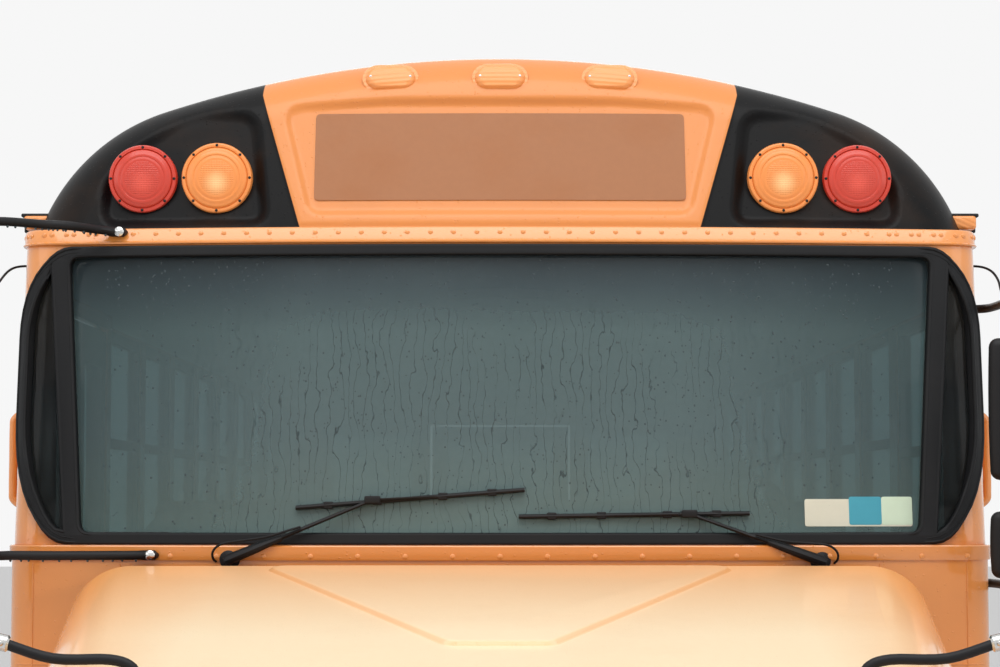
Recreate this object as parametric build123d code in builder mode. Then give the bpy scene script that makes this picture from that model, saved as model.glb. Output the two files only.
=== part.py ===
from build123d import *
from math import cos, sin, sqrt, tan, radians, degrees, atan2
import os

os.makedirs("parts", exist_ok=True)

# School bus in millimetres: +X is the bus's left, -Y its front, +Z up, origin on the ground at mid-length.

# Whole vehicle
length = 11200
body_width = 2490
wall = 45
glass = 6
fit = 0.3
running_gap = 5
front_y = -length / 2
rear_y = length / 2
body_half = body_width / 2
inner_half = body_half - wall

# Running gear
tyre_radius = 520
tyre_width = 265
rim_radius = 286
rim_wall = 12
rim_half = 113
front_axle_y = front_y + 950
wheelbase = 6450
rear_axle_y = front_axle_y + wheelbase
front_wheel_x = 1035
kingpin_x = 900
rear_wheel_x = 915
dual_spacing = 340
arch_radius = 600
spindle_radius = 45
hub_radius = 90
beam_height = 90
beam_depth = 100
axle_tube_radius = 70
tie_arm = 170

# Frame
rail_x = 432
rail_width = 70
rail_height = 254
rail_top = 890
rail_bottom = rail_top - rail_height
rail_outer = rail_x + rail_width / 2
rail_inner = rail_x - rail_width / 2

# Bumpers
bumper_depth = 90
bumper_low = 430
bumper_high = 690
bumper_half = body_half - 55
bumper_skin = 10
bumper_bevel = 55

# Body levels and stations
skirt_low = 560
floor_top = 1040
floor_low = floor_top - wall
eave = 2525
shoulder_radius = 500
crown_radius = 2880
cowl_y = front_y + 1720
cowl_low = 700
cowl_top = 1844
ledge = 30
windshield_lean = 8
nose_lean = 15
bow_radius = 9000
corner_radius = 80
strip_low = 2624
module_back = cowl_y + 430
cap_back = module_back + 150
body_back = rear_y - 100
rear_wall_y = body_back - wall

crown_base = eave - sqrt((crown_radius - shoulder_radius) ** 2 - (body_half - shoulder_radius) ** 2)
crown_top = crown_base + crown_radius

# Doors, windows and hatches
door_front = module_back + 15
door_back = door_front + 870
door_low = 385
door_high = 2480
door_thick = 40
door_gap = 20
hinge_inset = 20
pin_radius = 9
window_low = 1790
window_high = 2480
window_width = 610
window_pitch = 711
first_window = door_back + 370
window_count = int((rear_wall_y - 80 - window_width / 2 - first_window) // window_pitch) + 1
frame_ring = 30
frame_thick = 33
driver_window = (module_back + 70, module_back + 810)
driver_window_low = 1720
rear_door_half = 450
rear_door_low = 1060
rear_door_high = 2440
hatch_half = 320
hatch_places = {"hatch_front": module_back + 2350, "hatch_rear": rear_y - 2400}

# Stop arm
stop_y = module_back + 188
stop_z = 1330
stop_x = body_half + 31
stop_reach = 260
stop_inner = 225

# Hood: a tapering centre with a raised panel, over two fenders
hood_back = cowl_y - 35
hood_front = front_y + 120
hood_skin = 30
hood_low = 720
hood_edge_top = 1797
hood_slope = 8.4
shoulder_rear = 1069
shoulder_nose = 905
nose_top_y = hood_front + 60
nose_bend = 1320
hood_round = 160
fender_half = body_half - 55
fender_waist = 1150
fender_shelf = (1069, 1340)
fender_inner = (880, 1420)
fender_fall = (330, 1180)
fender_round = 200
panel_rise = 27
hood_pivot_y = front_y + 150
hood_pivot_z = 760
tunnel_half = rail_outer + 12
tunnel_top = 940


def block(x, y, z, mode=Mode.ADD):
    """Add a box from its low and high x, y and z."""
    with Locations(((x[0] + x[1]) / 2, (y[0] + y[1]) / 2, (z[0] + z[1]) / 2)):
        Box(x[1] - x[0], y[1] - y[0], z[1] - z[0], mode=mode)


def rod(start, end, radius, mode=Mode.ADD):
    """Add a round bar between two points."""
    run = Vector(*end) - Vector(*start)
    with Locations(Plane(origin=start, z_dir=run).location):
        Cylinder(radius, run.length, align=(Align.CENTER, Align.CENTER, Align.MIN), mode=mode)


def bar(start, end, radius, sides=8):
    """Add a bar with flat sides between two points."""
    run = Vector(*end) - Vector(*start)
    with BuildSketch(Plane(origin=start, z_dir=run)) as section:
        RegularPolygon(radius, sides)
    extrude(section.sketch, amount=run.length, dir=run)


def save(part, name):
    """Label a finished piece and write it as its own STEP file."""
    part.label = name
    export_step(part, f"parts/{name}.step")


def sided(pair, side):
    """Mirror a low and high x to the side given as 1 or -1, kept in rising order."""
    return tuple(sorted((pair[0] * side, pair[1] * side)))


def front_section(level, front, grow, back):
    """Plan outline of the body's bowed front with its rounded corners."""
    half = body_half + grow
    nose = front - grow
    corner = corner_radius + grow
    centre_x = half - corner
    centre_y = nose + bow_radius - sqrt((bow_radius - corner) ** 2 - centre_x ** 2)
    ux = centre_x / (bow_radius - corner)
    uy = (centre_y - nose - bow_radius) / (bow_radius - corner)
    meet = (ux * bow_radius, nose + bow_radius + uy * bow_radius)
    turn = atan2(uy, ux) / 2
    middle = (centre_x + corner * cos(turn), centre_y + corner * sin(turn))
    with BuildSketch(Plane.XY.offset(level)) as section:
        with BuildLine():
            ThreePointArc((-meet[0], meet[1]), (0, nose), meet)
            ThreePointArc(meet, middle, (half, centre_y))
            Polyline((half, centre_y), (half, back), (-half, back), (-half, centre_y))
            ThreePointArc((-half, centre_y), (-middle[0], middle[1]), (-meet[0], meet[1]))
        make_face()
    return section.sketch


def windshield_front(level):
    """Y of the windshield's outer face on the centreline at a level."""
    return cowl_y + ledge + (level - cowl_top) * tan(radians(windshield_lean))


def nose_front(level):
    """Y of the front cap's face on the centreline at a level."""
    return windshield_front(strip_low) + (level - strip_low) * tan(radians(nose_lean))


def front_solid(low, high, face, grow, back=module_back):
    """Upright body front between two levels whose face follows the given line."""
    lean = (face(high) - face(low)) / (high - low)
    with BuildPart() as body:
        add(front_section(low, face(low), grow, back + 50))
        extrude(amount=(high - low) * sqrt(1 + lean ** 2), dir=(0, lean, 1))
        block((-body_width, body_width), (back, back + length), (low - 1, high + 1), mode=Mode.SUBTRACT)
    return body.part


def roof_outline(plane, inset):
    """Front view of the roof above the eave: shoulder arcs tangent to the crown arc."""
    half = body_half - inset
    shoulder = shoulder_radius - inset
    crown = crown_radius - inset
    centre = half - shoulder
    lean = degrees(atan2(eave - crown_base, centre))
    with BuildSketch(plane) as section:
        with BuildLine():
            right = CenterArc((centre, eave), shoulder, 0, lean)
            CenterArc((0, crown_base), crown, lean, 180 - 2 * lean)
            left = CenterArc((-centre, eave), shoulder, 180 - lean, lean)
            Line(left @ 1, right @ 0)
        make_face()
    return section.sketch


def roof_solid(front, back, inset):
    """Roof section run from front to back."""
    with BuildPart() as run:
        add(roof_outline(Plane.XZ.offset(-front), inset))
        extrude(amount=back - front, dir=(0, 1, 0))
    return run.part


def opening_solid(shrink):
    """The windshield's main opening and its two corner openings, run from front to back."""
    low = glass_low + shrink
    high = glass_high - shrink
    with BuildPart() as cut:
        with BuildSketch(Plane.XZ.offset(-(cowl_y - 200))):
            with BuildLine():
                Polyline(
                    (post_low[0] - shrink, low), (post_high[0] - shrink, high),
                    (-post_high[0] + shrink, high), (-post_low[0] + shrink, low), close=True)
            make_face()
            for side in (1, -1):
                with BuildLine():
                    Polyline(
                        (side * (post_low[1] + shrink), low), (side * (post_high[1] + shrink), high),
                        (side * (body_half + 200), high), (side * (body_half + 200), low), close=True)
                make_face()
        extrude(amount=-(glass_back - shrink - (cowl_y - 200)))
    return cut.part


# Windshield opening: sill, head, back edge of the corner glass, and the slanted posts
glass_low = 1877
glass_high = 2588
glass_back = module_back - 50
post_low = (1062, 1103)
post_high = (1116, 1163)
seal_low = 1848
seal_high = 2616
seal_proud = 12
seal_back = glass_back + 12

# Frame: two rails and their cross members
cross_places = (
    front_y + 350, module_back + 100, module_back + 1650, module_back + 3150,
    rear_axle_y - 750, rear_axle_y + 900, rear_axle_y + 2400, rear_y - 250,
)
frame_front = front_y + bumper_depth
frame_rear = rear_y - bumper_depth
with BuildPart() as frame:
    for side in (1, -1):
        block(sided((rail_inner, rail_outer), side), (frame_front, frame_rear), (rail_bottom, rail_top))
        block(sided((rail_inner - 1, rail_outer - 8), side), (frame_front, frame_rear),
              (rail_bottom + 8, rail_top - 8), mode=Mode.SUBTRACT)
    for place in cross_places:
        block((-rail_outer + 8, rail_outer - 8), (place - 30, place + 30), (rail_bottom + 100, rail_top - 8))
save(frame.part, "frame")

# Front bumper with a tow eye below its edge at each frame rail
tow_eye_x = 432
tow_eye_radius = 25
tow_eye_y = front_y + 55
tow_eye_z = bumper_low - 35
tow_plate = 24


def bumper_channel(face, back):
    """A bumper's pressed channel, open at the back, with its ends bevelled."""
    toward = 1 if back > face else -1
    with BuildPart() as channel:
        for inset in (0, bumper_skin):
            rear = back + toward * inset
            front = face + toward * inset
            half = bumper_half - inset
            with BuildSketch(Plane.XY.offset(bumper_low + inset)):
                with BuildLine():
                    Polyline((-half, rear), (-half, front + toward * bumper_bevel), (-half + bumper_bevel, front),
                             (half - bumper_bevel, front), (half, front + toward * bumper_bevel), (half, rear), close=True)
                make_face()
            extrude(amount=bumper_high - bumper_low - 2 * inset, mode=Mode.SUBTRACT if inset else Mode.ADD)
    return channel.part


with BuildPart() as front_bumper:
    add(bumper_channel(front_y, frame_front))
    for side in (1, -1):
        block(sided((tow_eye_x - tow_plate / 2, tow_eye_x + tow_plate / 2), side), (front_y + bumper_skin, frame_front),
              (tow_eye_z - 50, bumper_high - bumper_skin))
        rod((side * tow_eye_x - tow_plate, tow_eye_y, tow_eye_z),
            (side * tow_eye_x + tow_plate, tow_eye_y, tow_eye_z), tow_eye_radius, mode=Mode.SUBTRACT)
save(front_bumper.part, "front_bumper")

with BuildPart() as rear_bumper:
    add(bumper_channel(rear_y, frame_rear))
    for side in (1, -1):
        block(sided((tow_eye_x - tow_plate / 2, tow_eye_x + tow_plate / 2), side), (frame_rear, rear_y - bumper_skin),
              (bumper_low + bumper_skin, bumper_high - bumper_skin))
save(rear_bumper.part, "rear_bumper")

# Engine, gearbox and driveshaft
engine_y = (cowl_y - 1170, cowl_y - 270)
radiator_y = (cowl_y - 1330, cowl_y - 1270)
gearbox_end = cowl_y + 380
shaft_radius = 50
housing_radius = 190
with BuildPart() as powertrain:
    block((-300, 300), engine_y, (640, 1400))
    block((-200, 200), (engine_y[1], gearbox_end), (610, 930))
    rod((0, gearbox_end - 20, 675), (0, rear_axle_y - housing_radius - running_gap, 560), shaft_radius)
    for side in (1, -1):
        block(sided((300, rail_outer - 8), side), (engine_y[0] + 350, engine_y[0] + 450), (660, 780))
    block((-rail_inner + 10, rail_inner - 10), radiator_y, (rail_bottom + 100, 1400))
    for side in (1, -1):
        block(sided((rail_inner - 10, rail_outer - 8), side), (radiator_y[0] + 10, radiator_y[1] - 10), (740, 800))
save(powertrain.part, "powertrain")

# Exhaust along the right rail
exhaust_x = -590
exhaust_z = 620
pipe_radius = 45
muffler_radius = 110
muffler_y = (module_back + 1250, module_back + 2350)
pipe_turn = rear_axle_y - 1100
hanger_places = (module_back + 50, (muffler_y[0] + muffler_y[1]) / 2, pipe_turn - 400)
with BuildPart() as exhaust:
    rod((exhaust_x, engine_y[1] + 150, exhaust_z), (exhaust_x, pipe_turn, exhaust_z), pipe_radius)
    rod((exhaust_x, muffler_y[0], exhaust_z), (exhaust_x, muffler_y[1], exhaust_z), muffler_radius)
    rod((exhaust_x, pipe_turn, exhaust_z), (-inner_half + 40, pipe_turn + 200, 490), pipe_radius)
    for place in hanger_places:
        block((exhaust_x - 15, -rail_outer), (place - 20, place + 20), (exhaust_z + 30, exhaust_z + 50))
        block((exhaust_x - 15, exhaust_x + 15), (place - 20, place + 20), (exhaust_z, exhaust_z + 50))
save(exhaust.part, "exhaust")

# Fuel tank on the left rail
tank_y = (module_back + 1150, module_back + 2350)
with BuildPart() as fuel_tank:
    block((rail_outer, inner_half - 110), tank_y, (520, 930))
    fillet(fuel_tank.edges().filter_by(Axis.Y), radius=60)
    block((rail_outer, rail_outer + 80), (tank_y[0] + 50, tank_y[1] - 50), (650, 860))
save(fuel_tank.part, "fuel_tank")

# Leaf springs under the rails
spring_half = 38
springs = {
    "front": (front_axle_y, 600, 520 + fit, 580),
    "rear": (rear_axle_y, 650, tyre_radius + axle_tube_radius + fit, 626),
}
with BuildPart() as leaf_springs:
    for place, reach, low, high in springs.values():
        for side in (1, -1):
            with BuildSketch(Plane.YZ.offset(side * rail_x - spring_half)):
                with BuildLine():
                    ThreePointArc((place - reach, rail_bottom - 30), (place, low), (place + reach, rail_bottom - 30))
                    Line((place + reach, rail_bottom - 30), (place + reach, rail_bottom))
                    ThreePointArc((place + reach, rail_bottom), (place, high), (place - reach, rail_bottom))
                    Line((place - reach, rail_bottom), (place - reach, rail_bottom - 30))
                make_face()
            extrude(amount=2 * spring_half)
save(leaf_springs.part, "leaf_springs")

# Front axle beam with kingpin eyes
kingpin_radius = 18
eye_radius = 40
eye_low = tyre_radius - 65
eye_high = tyre_radius + 65
with BuildPart() as front_axle:
    block((-kingpin_x, kingpin_x), (front_axle_y - beam_depth / 2, front_axle_y + beam_depth / 2),
          (tyre_radius - beam_height, tyre_radius))
    for side in (1, -1):
        rod((side * kingpin_x, front_axle_y, tyre_radius - beam_height),
            (side * kingpin_x, front_axle_y, eye_high), eye_radius)
        block(sided((kingpin_x - 1, kingpin_x + 120), side), (front_axle_y - 90, front_axle_y + 90),
              (tyre_radius - beam_height - 1, tyre_radius - beam_height + 25), mode=Mode.SUBTRACT)
        rod((side * kingpin_x, front_axle_y, 300), (side * kingpin_x, front_axle_y, 700),
            kingpin_radius + fit, mode=Mode.SUBTRACT)
save(front_axle.part, "front_axle")

# Rear axle with its differential housing
rear_hub_inner = 855
with BuildPart() as rear_axle:
    rod((-rear_hub_inner + running_gap, rear_axle_y, tyre_radius),
        (rear_hub_inner - running_gap, rear_axle_y, tyre_radius), axle_tube_radius)
    rod((-1000, rear_axle_y, tyre_radius), (1000, rear_axle_y, tyre_radius), spindle_radius)
    rod((-150, rear_axle_y, tyre_radius), (150, rear_axle_y, tyre_radius), housing_radius)
save(rear_axle.part, "rear_axle")

# Knuckles: two lugs on the kingpin, a web, the wheel spindle and the steering arm
lug_thick = 28
for name, side in (("knuckle_left", 1), ("knuckle_right", -1)):
    x = side * kingpin_x
    low = tyre_radius - beam_height
    with BuildPart() as knuckle:
        rod((x, front_axle_y, low - lug_thick - 2), (x, front_axle_y, eye_high + 2 + lug_thick), kingpin_radius)
        for level in (low - lug_thick - 2, eye_high + 2):
            rod((x, front_axle_y, level), (x, front_axle_y, level + lug_thick), eye_radius)
            block(sided((kingpin_x, kingpin_x + 85), side), (front_axle_y - 40, front_axle_y + 40),
                  (level, level + lug_thick))
        block(sided((kingpin_x + 50, kingpin_x + 85), side), (front_axle_y - 40, front_axle_y + 40),
              (low - lug_thick - 2, eye_high + 2 + lug_thick))
        rod((x + side * 50, front_axle_y, tyre_radius), (side * 1120, front_axle_y, tyre_radius), spindle_radius)
        block((x - 25, x + 25), (front_axle_y, front_axle_y + tie_arm + 20), (low - lug_thick - 2, low - 2))
        rod((x, front_axle_y + tie_arm, low - 10), (x, front_axle_y + tie_arm, low + 34), 10)
    save(knuckle.part, name)

with BuildPart() as tie_rod:
    bar((-kingpin_x, front_axle_y + tie_arm, tyre_radius - beam_height + 15),
        (kingpin_x, front_axle_y + tie_arm, tyre_radius - beam_height + 15), 12)
    for side in (1, -1):
        block(sided((kingpin_x - 24, kingpin_x + 24), side), (front_axle_y + tie_arm - 24, front_axle_y + tie_arm + 24),
              (tyre_radius - beam_height, tyre_radius - beam_height + 30))
        rod((side * kingpin_x, front_axle_y + tie_arm, 300),
            (side * kingpin_x, front_axle_y + tie_arm, 700), 10 + fit, mode=Mode.SUBTRACT)
save(tie_rod.part, "tie_rod")


def turned(outline, x, y):
    """Revolve an outline of axial distance and radius about a wheel's axis at x."""
    with BuildPart() as ring:
        with BuildSketch(Plane(origin=(x, y, tyre_radius), x_dir=(1, 0, 0), z_dir=(0, -1, 0))):
            with BuildLine():
                Polyline(*outline, close=True)
            make_face()
        revolve(axis=Axis((x, y, tyre_radius), (1, 0, 0)))
    return ring.part


# Wheels and tyres: a disc near the outer face in front, deep dishes on the twin wheels behind
bead = rim_radius + fit
tyre_half = tyre_width / 2
tyre_outline = [(-tyre_half, bead), (-tyre_half, tyre_radius), (tyre_half, tyre_radius), (tyre_half, bead)]
hub_reach = 125
disc_thick = 14
drum_radius = 180
dual_half = dual_spacing / 2 + rim_half
dish_wall = 8
dish_radius = rim_radius - rim_wall
for name, side in (("left", 1), ("right", -1)):
    front_outline = [
        (-45, spindle_radius + fit), (-45, hub_radius), (rim_half - disc_thick, hub_radius),
        (rim_half - disc_thick, dish_radius), (-rim_half, dish_radius), (-rim_half, rim_radius), (rim_half, rim_radius),
        (rim_half, hub_radius), (hub_reach, hub_radius), (hub_reach, 0), (90, 0), (90, spindle_radius + fit),
    ]
    flipped = [(side * t, r) for t, r in front_outline]
    save(turned(flipped, side * front_wheel_x, front_axle_y), f"front_wheel_{name}")
    save(turned(tyre_outline, side * front_wheel_x, front_axle_y), f"front_tyre_{name}")
    hub_start = rear_hub_inner - rear_wheel_x
    dual_outline = [
        (hub_start, spindle_radius + fit), (hub_start, drum_radius), (-dual_half, drum_radius),
        (-dual_half, rim_radius), (dual_half, rim_radius), (dual_half, dish_radius), (dish_wall, dish_radius),
        (dish_wall, hub_radius), (hub_reach, hub_radius), (hub_reach, 0), (90, 0), (90, spindle_radius + fit),
    ]
    flipped = [(side * t, r) for t, r in dual_outline]
    save(turned(flipped, side * rear_wheel_x, rear_axle_y), f"rear_wheels_{name}")
    with BuildPart() as pair:
        for offset in (-dual_spacing / 2, dual_spacing / 2):
            add(turned(tyre_outline, side * rear_wheel_x + offset, rear_axle_y))
    save(pair.part, f"rear_tyres_{name}")

# Floor on its two sills, open at the entry and over the rear wheels
housing_inner = 540
housing_radius_out = arch_radius + wall
step_levels = (380, 600, 820)
step_edge = -700
step_thick = 30
floor_front = module_back - 190
well_y = (door_front - step_thick, door_back + step_thick)
with BuildPart() as floor:
    block((-inner_half, inner_half), (floor_front, rear_wall_y), (floor_low, floor_top))
    for side in (1, -1):
        block(sided((rail_inner, rail_outer), side), (module_back, rear_wall_y), (rail_top, floor_low))
    block((-inner_half - 1, step_edge + fit), (well_y[0] - fit, well_y[1] + fit), (floor_low - 1, floor_top + 1),
          mode=Mode.SUBTRACT)
    for side in (1, -1):
        rod((side * (housing_inner - fit), rear_axle_y, tyre_radius), (side * (inner_half + 1), rear_axle_y, tyre_radius),
            housing_radius_out + fit, mode=Mode.SUBTRACT)
save(floor.part, "floor")

# Housings over the rear wheels
with BuildPart() as wheel_housings:
    for side in (1, -1):
        rod((side * housing_inner, rear_axle_y, tyre_radius), (side * inner_half, rear_axle_y, tyre_radius),
            housing_radius_out)
        rod((side * (housing_inner + wall), rear_axle_y, tyre_radius),
            (side * (inner_half + 1), rear_axle_y, tyre_radius), arch_radius, mode=Mode.SUBTRACT)
        block(sided((housing_inner - 1, inner_half + 1), side), (rear_axle_y - 2 * arch_radius, rear_axle_y + 2 * arch_radius),
              (-2 * arch_radius, floor_low), mode=Mode.SUBTRACT)
save(wheel_housings.part, "wheel_housings")

# Entry steps between their two cheeks
with BuildPart() as entry_steps:
    tread = (inner_half + step_edge) / len(step_levels)
    for number, level in enumerate(step_levels):
        outer = -inner_half + number * tread
        riser_top = step_levels[number + 1] if number + 1 < len(step_levels) else floor_top
        block((outer, outer + tread), (door_front, door_back), (level - step_thick, level))
        block((outer + tread - step_thick, outer + tread), (door_front, door_back), (level, riser_top))
    for low_y, high_y in ((well_y[0], door_front), (door_back, well_y[1])):
        block((-inner_half, step_edge), (low_y, high_y), (step_levels[0] - step_thick, floor_top))
save(entry_steps.part, "entry_steps")

# Cowl: bowed front wall and its cheeks
with BuildPart() as cowl:
    add(front_solid(cowl_low, cowl_top, lambda level: cowl_y, 0))
    add(front_solid(cowl_low - 10, cowl_top + 10, lambda level: cowl_y, -wall), mode=Mode.SUBTRACT)
    block((-inner_half, inner_half), (module_back - wall - 20, module_back + 1), (cowl_low - 1, cowl_top + 1),
          mode=Mode.SUBTRACT)
    block((-tunnel_half, tunnel_half), (cowl_y - 1, module_back), (cowl_low - 1, tunnel_top), mode=Mode.SUBTRACT)
save(cowl.part, "cowl")

# Windshield frame, its rubber seal and the three panes
frame_outer = front_solid(cowl_top, strip_low, windshield_front, 0)
frame_inner = front_solid(cowl_top - 10, strip_low + 10, windshield_front, -wall)
with BuildPart() as windshield_frame:
    add(frame_outer)
    add(frame_inner, mode=Mode.SUBTRACT)
    block((-inner_half, inner_half), (module_back - wall - 20, module_back + 1), (cowl_top - 1, strip_low + 1),
          mode=Mode.SUBTRACT)
    add(opening_solid(0), mode=Mode.SUBTRACT)
save(windshield_frame.part, "windshield_frame")

with BuildPart() as windshield_seal:
    add(front_solid(seal_low, seal_high, windshield_front, seal_proud))
    add(front_solid(seal_low - 10, seal_high + 10, windshield_front, fit), mode=Mode.SUBTRACT)
    block((-body_half - 100, body_half + 100), (seal_back, rear_y), (seal_low - 1, seal_high + 1),
          mode=Mode.SUBTRACT)
    add(opening_solid(0), mode=Mode.SUBTRACT)
save(windshield_seal.part, "windshield_seal")

with BuildPart() as windshield:
    add(front_solid(glass_low - 20, glass_high + 20, windshield_front, -wall / 3))
    add(front_solid(glass_low - 30, glass_high + 30, windshield_front, -wall / 3 - glass), mode=Mode.SUBTRACT)
    add(opening_solid(fit), mode=Mode.INTERSECT)
save(windshield.part, "windshield")


def ahead_of_face(inset):
    """The space ahead of the cap's leaning, bowed face."""
    reach = body_half + 200
    low = eave - 200
    nose = nose_front(low) + inset
    sag = bow_radius - sqrt(bow_radius ** 2 - reach ** 2)
    with BuildPart() as space:
        with BuildSketch(Plane.XY.offset(low)):
            with BuildLine():
                ThreePointArc((-reach, nose + sag), (0, nose), (reach, nose + sag))
                Polyline((reach, nose + sag), (reach, nose - 800), (-reach, nose - 800), (-reach, nose + sag))
            make_face()
        extrude(amount=1100, dir=(0, tan(radians(nose_lean)), 1))
    return space.part


def cap_solid(inset, first_bevel, second_bevel):
    """Cap outline run forward to the bowed face; each bevel has its width on the face and behind it."""
    half = body_half - inset
    shoulder = shoulder_radius - inset
    crown = crown_radius - inset
    centre = half - shoulder
    lean = degrees(atan2(eave - crown_base, centre))
    with BuildPart() as cap:
        with BuildSketch(Plane.XZ.offset(-cap_back)):
            with BuildLine():
                Line((half, eave - 100), (half, eave))
                CenterArc((centre, eave), shoulder, 0, lean)
                CenterArc((0, crown_base), crown, lean, 180 - 2 * lean)
                CenterArc((-centre, eave), shoulder, 180 - lean, lean)
                Polyline((-half, eave), (-half, eave - 100), (half, eave - 100))
            make_face()
        extrude(amount=cap_back - cowl_y)
        add(ahead_of_face(inset), mode=Mode.SUBTRACT)
        for near, far in (first_bevel, second_bevel):
            if near:
                face = cap.faces().sort_by(Axis.Y)[0]
                rim = [edge for edge in face.edges() if edge.center().Z > eave - 99]
                chamfer(rim, length=near, length2=far, reference=face)
    return cap.part


def rounded_prism(points, radius):
    """A front-view outline with rounded corners, run back through the cap."""
    with BuildSketch(Plane.XZ.offset(-front_y)) as outline:
        with BuildLine():
            Polyline(*points, close=True)
        make_face()
        fillet(outline.vertices(), radius=radius)
    with BuildPart() as prism:
        add(outline.sketch)
        extrude(amount=cap_back - front_y, dir=(0, 1, 0))
    return prism.part


# Front cap with its sign recess and the two recesses for the warning lamps
sign_depth = 14
sign_low = 2692
sign_high = 3012
sign_half = (500, 575)
pocket_depth = 28
pocket_low = 2668
pocket_high = 2985
pocket_inner = 598
pocket_outer = 1062
cap_bevels = ((60, 140), (45, 45))
inner_bevels = ((62, 62), (0, 0))
with BuildPart() as front_cap:
    add(cap_solid(0, *cap_bevels))
    add(cap_solid(wall, *inner_bevels), mode=Mode.SUBTRACT)
    block((-body_width, body_width), (cowl_y - 100, module_back), (eave - 200, strip_low), mode=Mode.SUBTRACT)
    block((-body_width, body_width), (cowl_y - 100, cap_back + 1), (eave - 200, eave), mode=Mode.SUBTRACT)
    with BuildPart(mode=Mode.PRIVATE) as sign_cut:
        add(ahead_of_face(sign_depth))
        add(rounded_prism([(-sign_half[0], sign_low), (-sign_half[1], sign_high), (sign_half[1], sign_high),
                           (sign_half[0], sign_low)], 35), mode=Mode.INTERSECT)
    add(sign_cut.part, mode=Mode.SUBTRACT)
    for side in (1, -1):
        pocket = [(side * pocket_inner, pocket_low), (side * (pocket_inner + 40), pocket_high),
                  (side * (pocket_inner + 215), pocket_high), (side * (pocket_outer - 40), pocket_low + 200),
                  (side * pocket_outer, pocket_low + 80), (side * pocket_outer, pocket_low)]
        with BuildPart(mode=Mode.PRIVATE) as pocket_cut:
            add(ahead_of_face(pocket_depth))
            add(rounded_prism(pocket, 40), mode=Mode.INTERSECT)
        add(pocket_cut.part, mode=Mode.SUBTRACT)
save(front_cap.part, "front_cap")

# Roof with two hatch openings and their coamings
coaming_top = crown_top + 30
with BuildPart() as roof:
    for place in hatch_places.values():
        block((-hatch_half, hatch_half), (place - hatch_half, place + hatch_half), (crown_top - 100, coaming_top))
    add(roof_solid(cap_back, rear_wall_y, 0))
    add(roof_solid(cap_back - 10, rear_wall_y + 10, wall), mode=Mode.SUBTRACT)
    for place in hatch_places.values():
        block((-hatch_half + 30, hatch_half - 30), (place - hatch_half + 30, place + hatch_half - 30),
              (crown_top - 200, coaming_top + 1), mode=Mode.SUBTRACT)
save(roof.part, "roof")

# Hatch lids, hinged along their front edges
for name, place in hatch_places.items():
    with BuildPart() as lid:
        block((-hatch_half - 10, hatch_half + 10), (place - hatch_half - 10, place + hatch_half + 10),
              (coaming_top + fit, coaming_top + 45))
        chamfer(lid.faces().sort_by(Axis.Z)[-1].edges(), length=25)
    save(lid.part, name)

# Side walls with their window and door openings and wheel arches
window_places = [first_window + window_pitch * number for number in range(window_count)]
for name, side in (("side_left", 1), ("side_right", -1)):
    with BuildPart() as panel:
        block(sided((inner_half, body_half), side), (module_back, rear_wall_y), (skirt_low, eave))
        for place in window_places:
            block(sided((inner_half - 1, body_half + 1), side), (place - window_width / 2, place + window_width / 2),
                  (window_low, window_high), mode=Mode.SUBTRACT)
        rod((side * (inner_half - 1), rear_axle_y, tyre_radius), (side * (body_half + 1), rear_axle_y, tyre_radius),
            arch_radius, mode=Mode.SUBTRACT)
        if side == 1:
            block((inner_half - 1, body_half + 1), driver_window, (driver_window_low, window_high),
                  mode=Mode.SUBTRACT)
            block((body_half, body_half + 10), (stop_y - 28, stop_y + 28), (stop_z - 60, stop_z + 60))
            for low in (stop_z - 60, stop_z + 45):
                block((body_half, stop_x + 12), (stop_y - 18, stop_y + 18), (low, low + 15))
        else:
            block(sided((inner_half, body_half), side), (module_back, door_back + wall), (step_levels[0] - 30, eave))
            block(sided((inner_half - 1, body_half + 1), side), (door_front, door_back), (door_low, door_high),
                  mode=Mode.SUBTRACT)
    save(panel.part, name)

# Window frames and panes, set in the openings of each side
frame_bars = []
cabin_panes = []
for side in (1, -1):
    openings = [(place - window_width / 2, place + window_width / 2, window_low) for place in window_places]
    if side == 1:
        openings.append((*driver_window, driver_window_low))
    inset = (body_half - 6 - frame_thick, body_half - 6)
    pane = (body_half - 6 - frame_thick / 2 - glass / 2, body_half - 6 - frame_thick / 2 + glass / 2)
    with BuildPart() as window_frames:
        for low_y, high_y, low_z in openings:
            middle = (low_z + window_high) / 2
            block(sided(inset, side), (low_y, high_y), (low_z, window_high))
            for pane_low, pane_high in ((low_z + frame_ring, middle - 15), (middle + 15, window_high - frame_ring)):
                block(sided((inset[0] - 1, inset[1] + 1), side), (low_y + frame_ring, high_y - frame_ring),
                      (pane_low, pane_high), mode=Mode.SUBTRACT)
    frame_bars.append(window_frames.part)
    with BuildPart() as panes:
        for low_y, high_y, low_z in openings:
            middle = (low_z + window_high) / 2
            for pane_low, pane_high in ((low_z + frame_ring, middle - 15), (middle + 15, window_high - frame_ring)):
                block(sided(pane, side), (low_y + frame_ring, high_y - frame_ring), (pane_low, pane_high))
    cabin_panes.append(panes.part)

with BuildPart() as all_frames:
    for bars in frame_bars:
        add(bars)
save(all_frames.part, "window_frames")

# Rub rails along both sides
rail_levels = (1180, 1480, 1740)
with BuildPart() as rub_rails:
    for side in (1, -1):
        start = door_back + 60 if side == -1 else module_back + 10
        for level in rail_levels:
            block(sided((body_half, body_half + 14), side), (start, rear_wall_y), (level - 30, level + 30))
save(rub_rails.part, "rub_rails")

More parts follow.
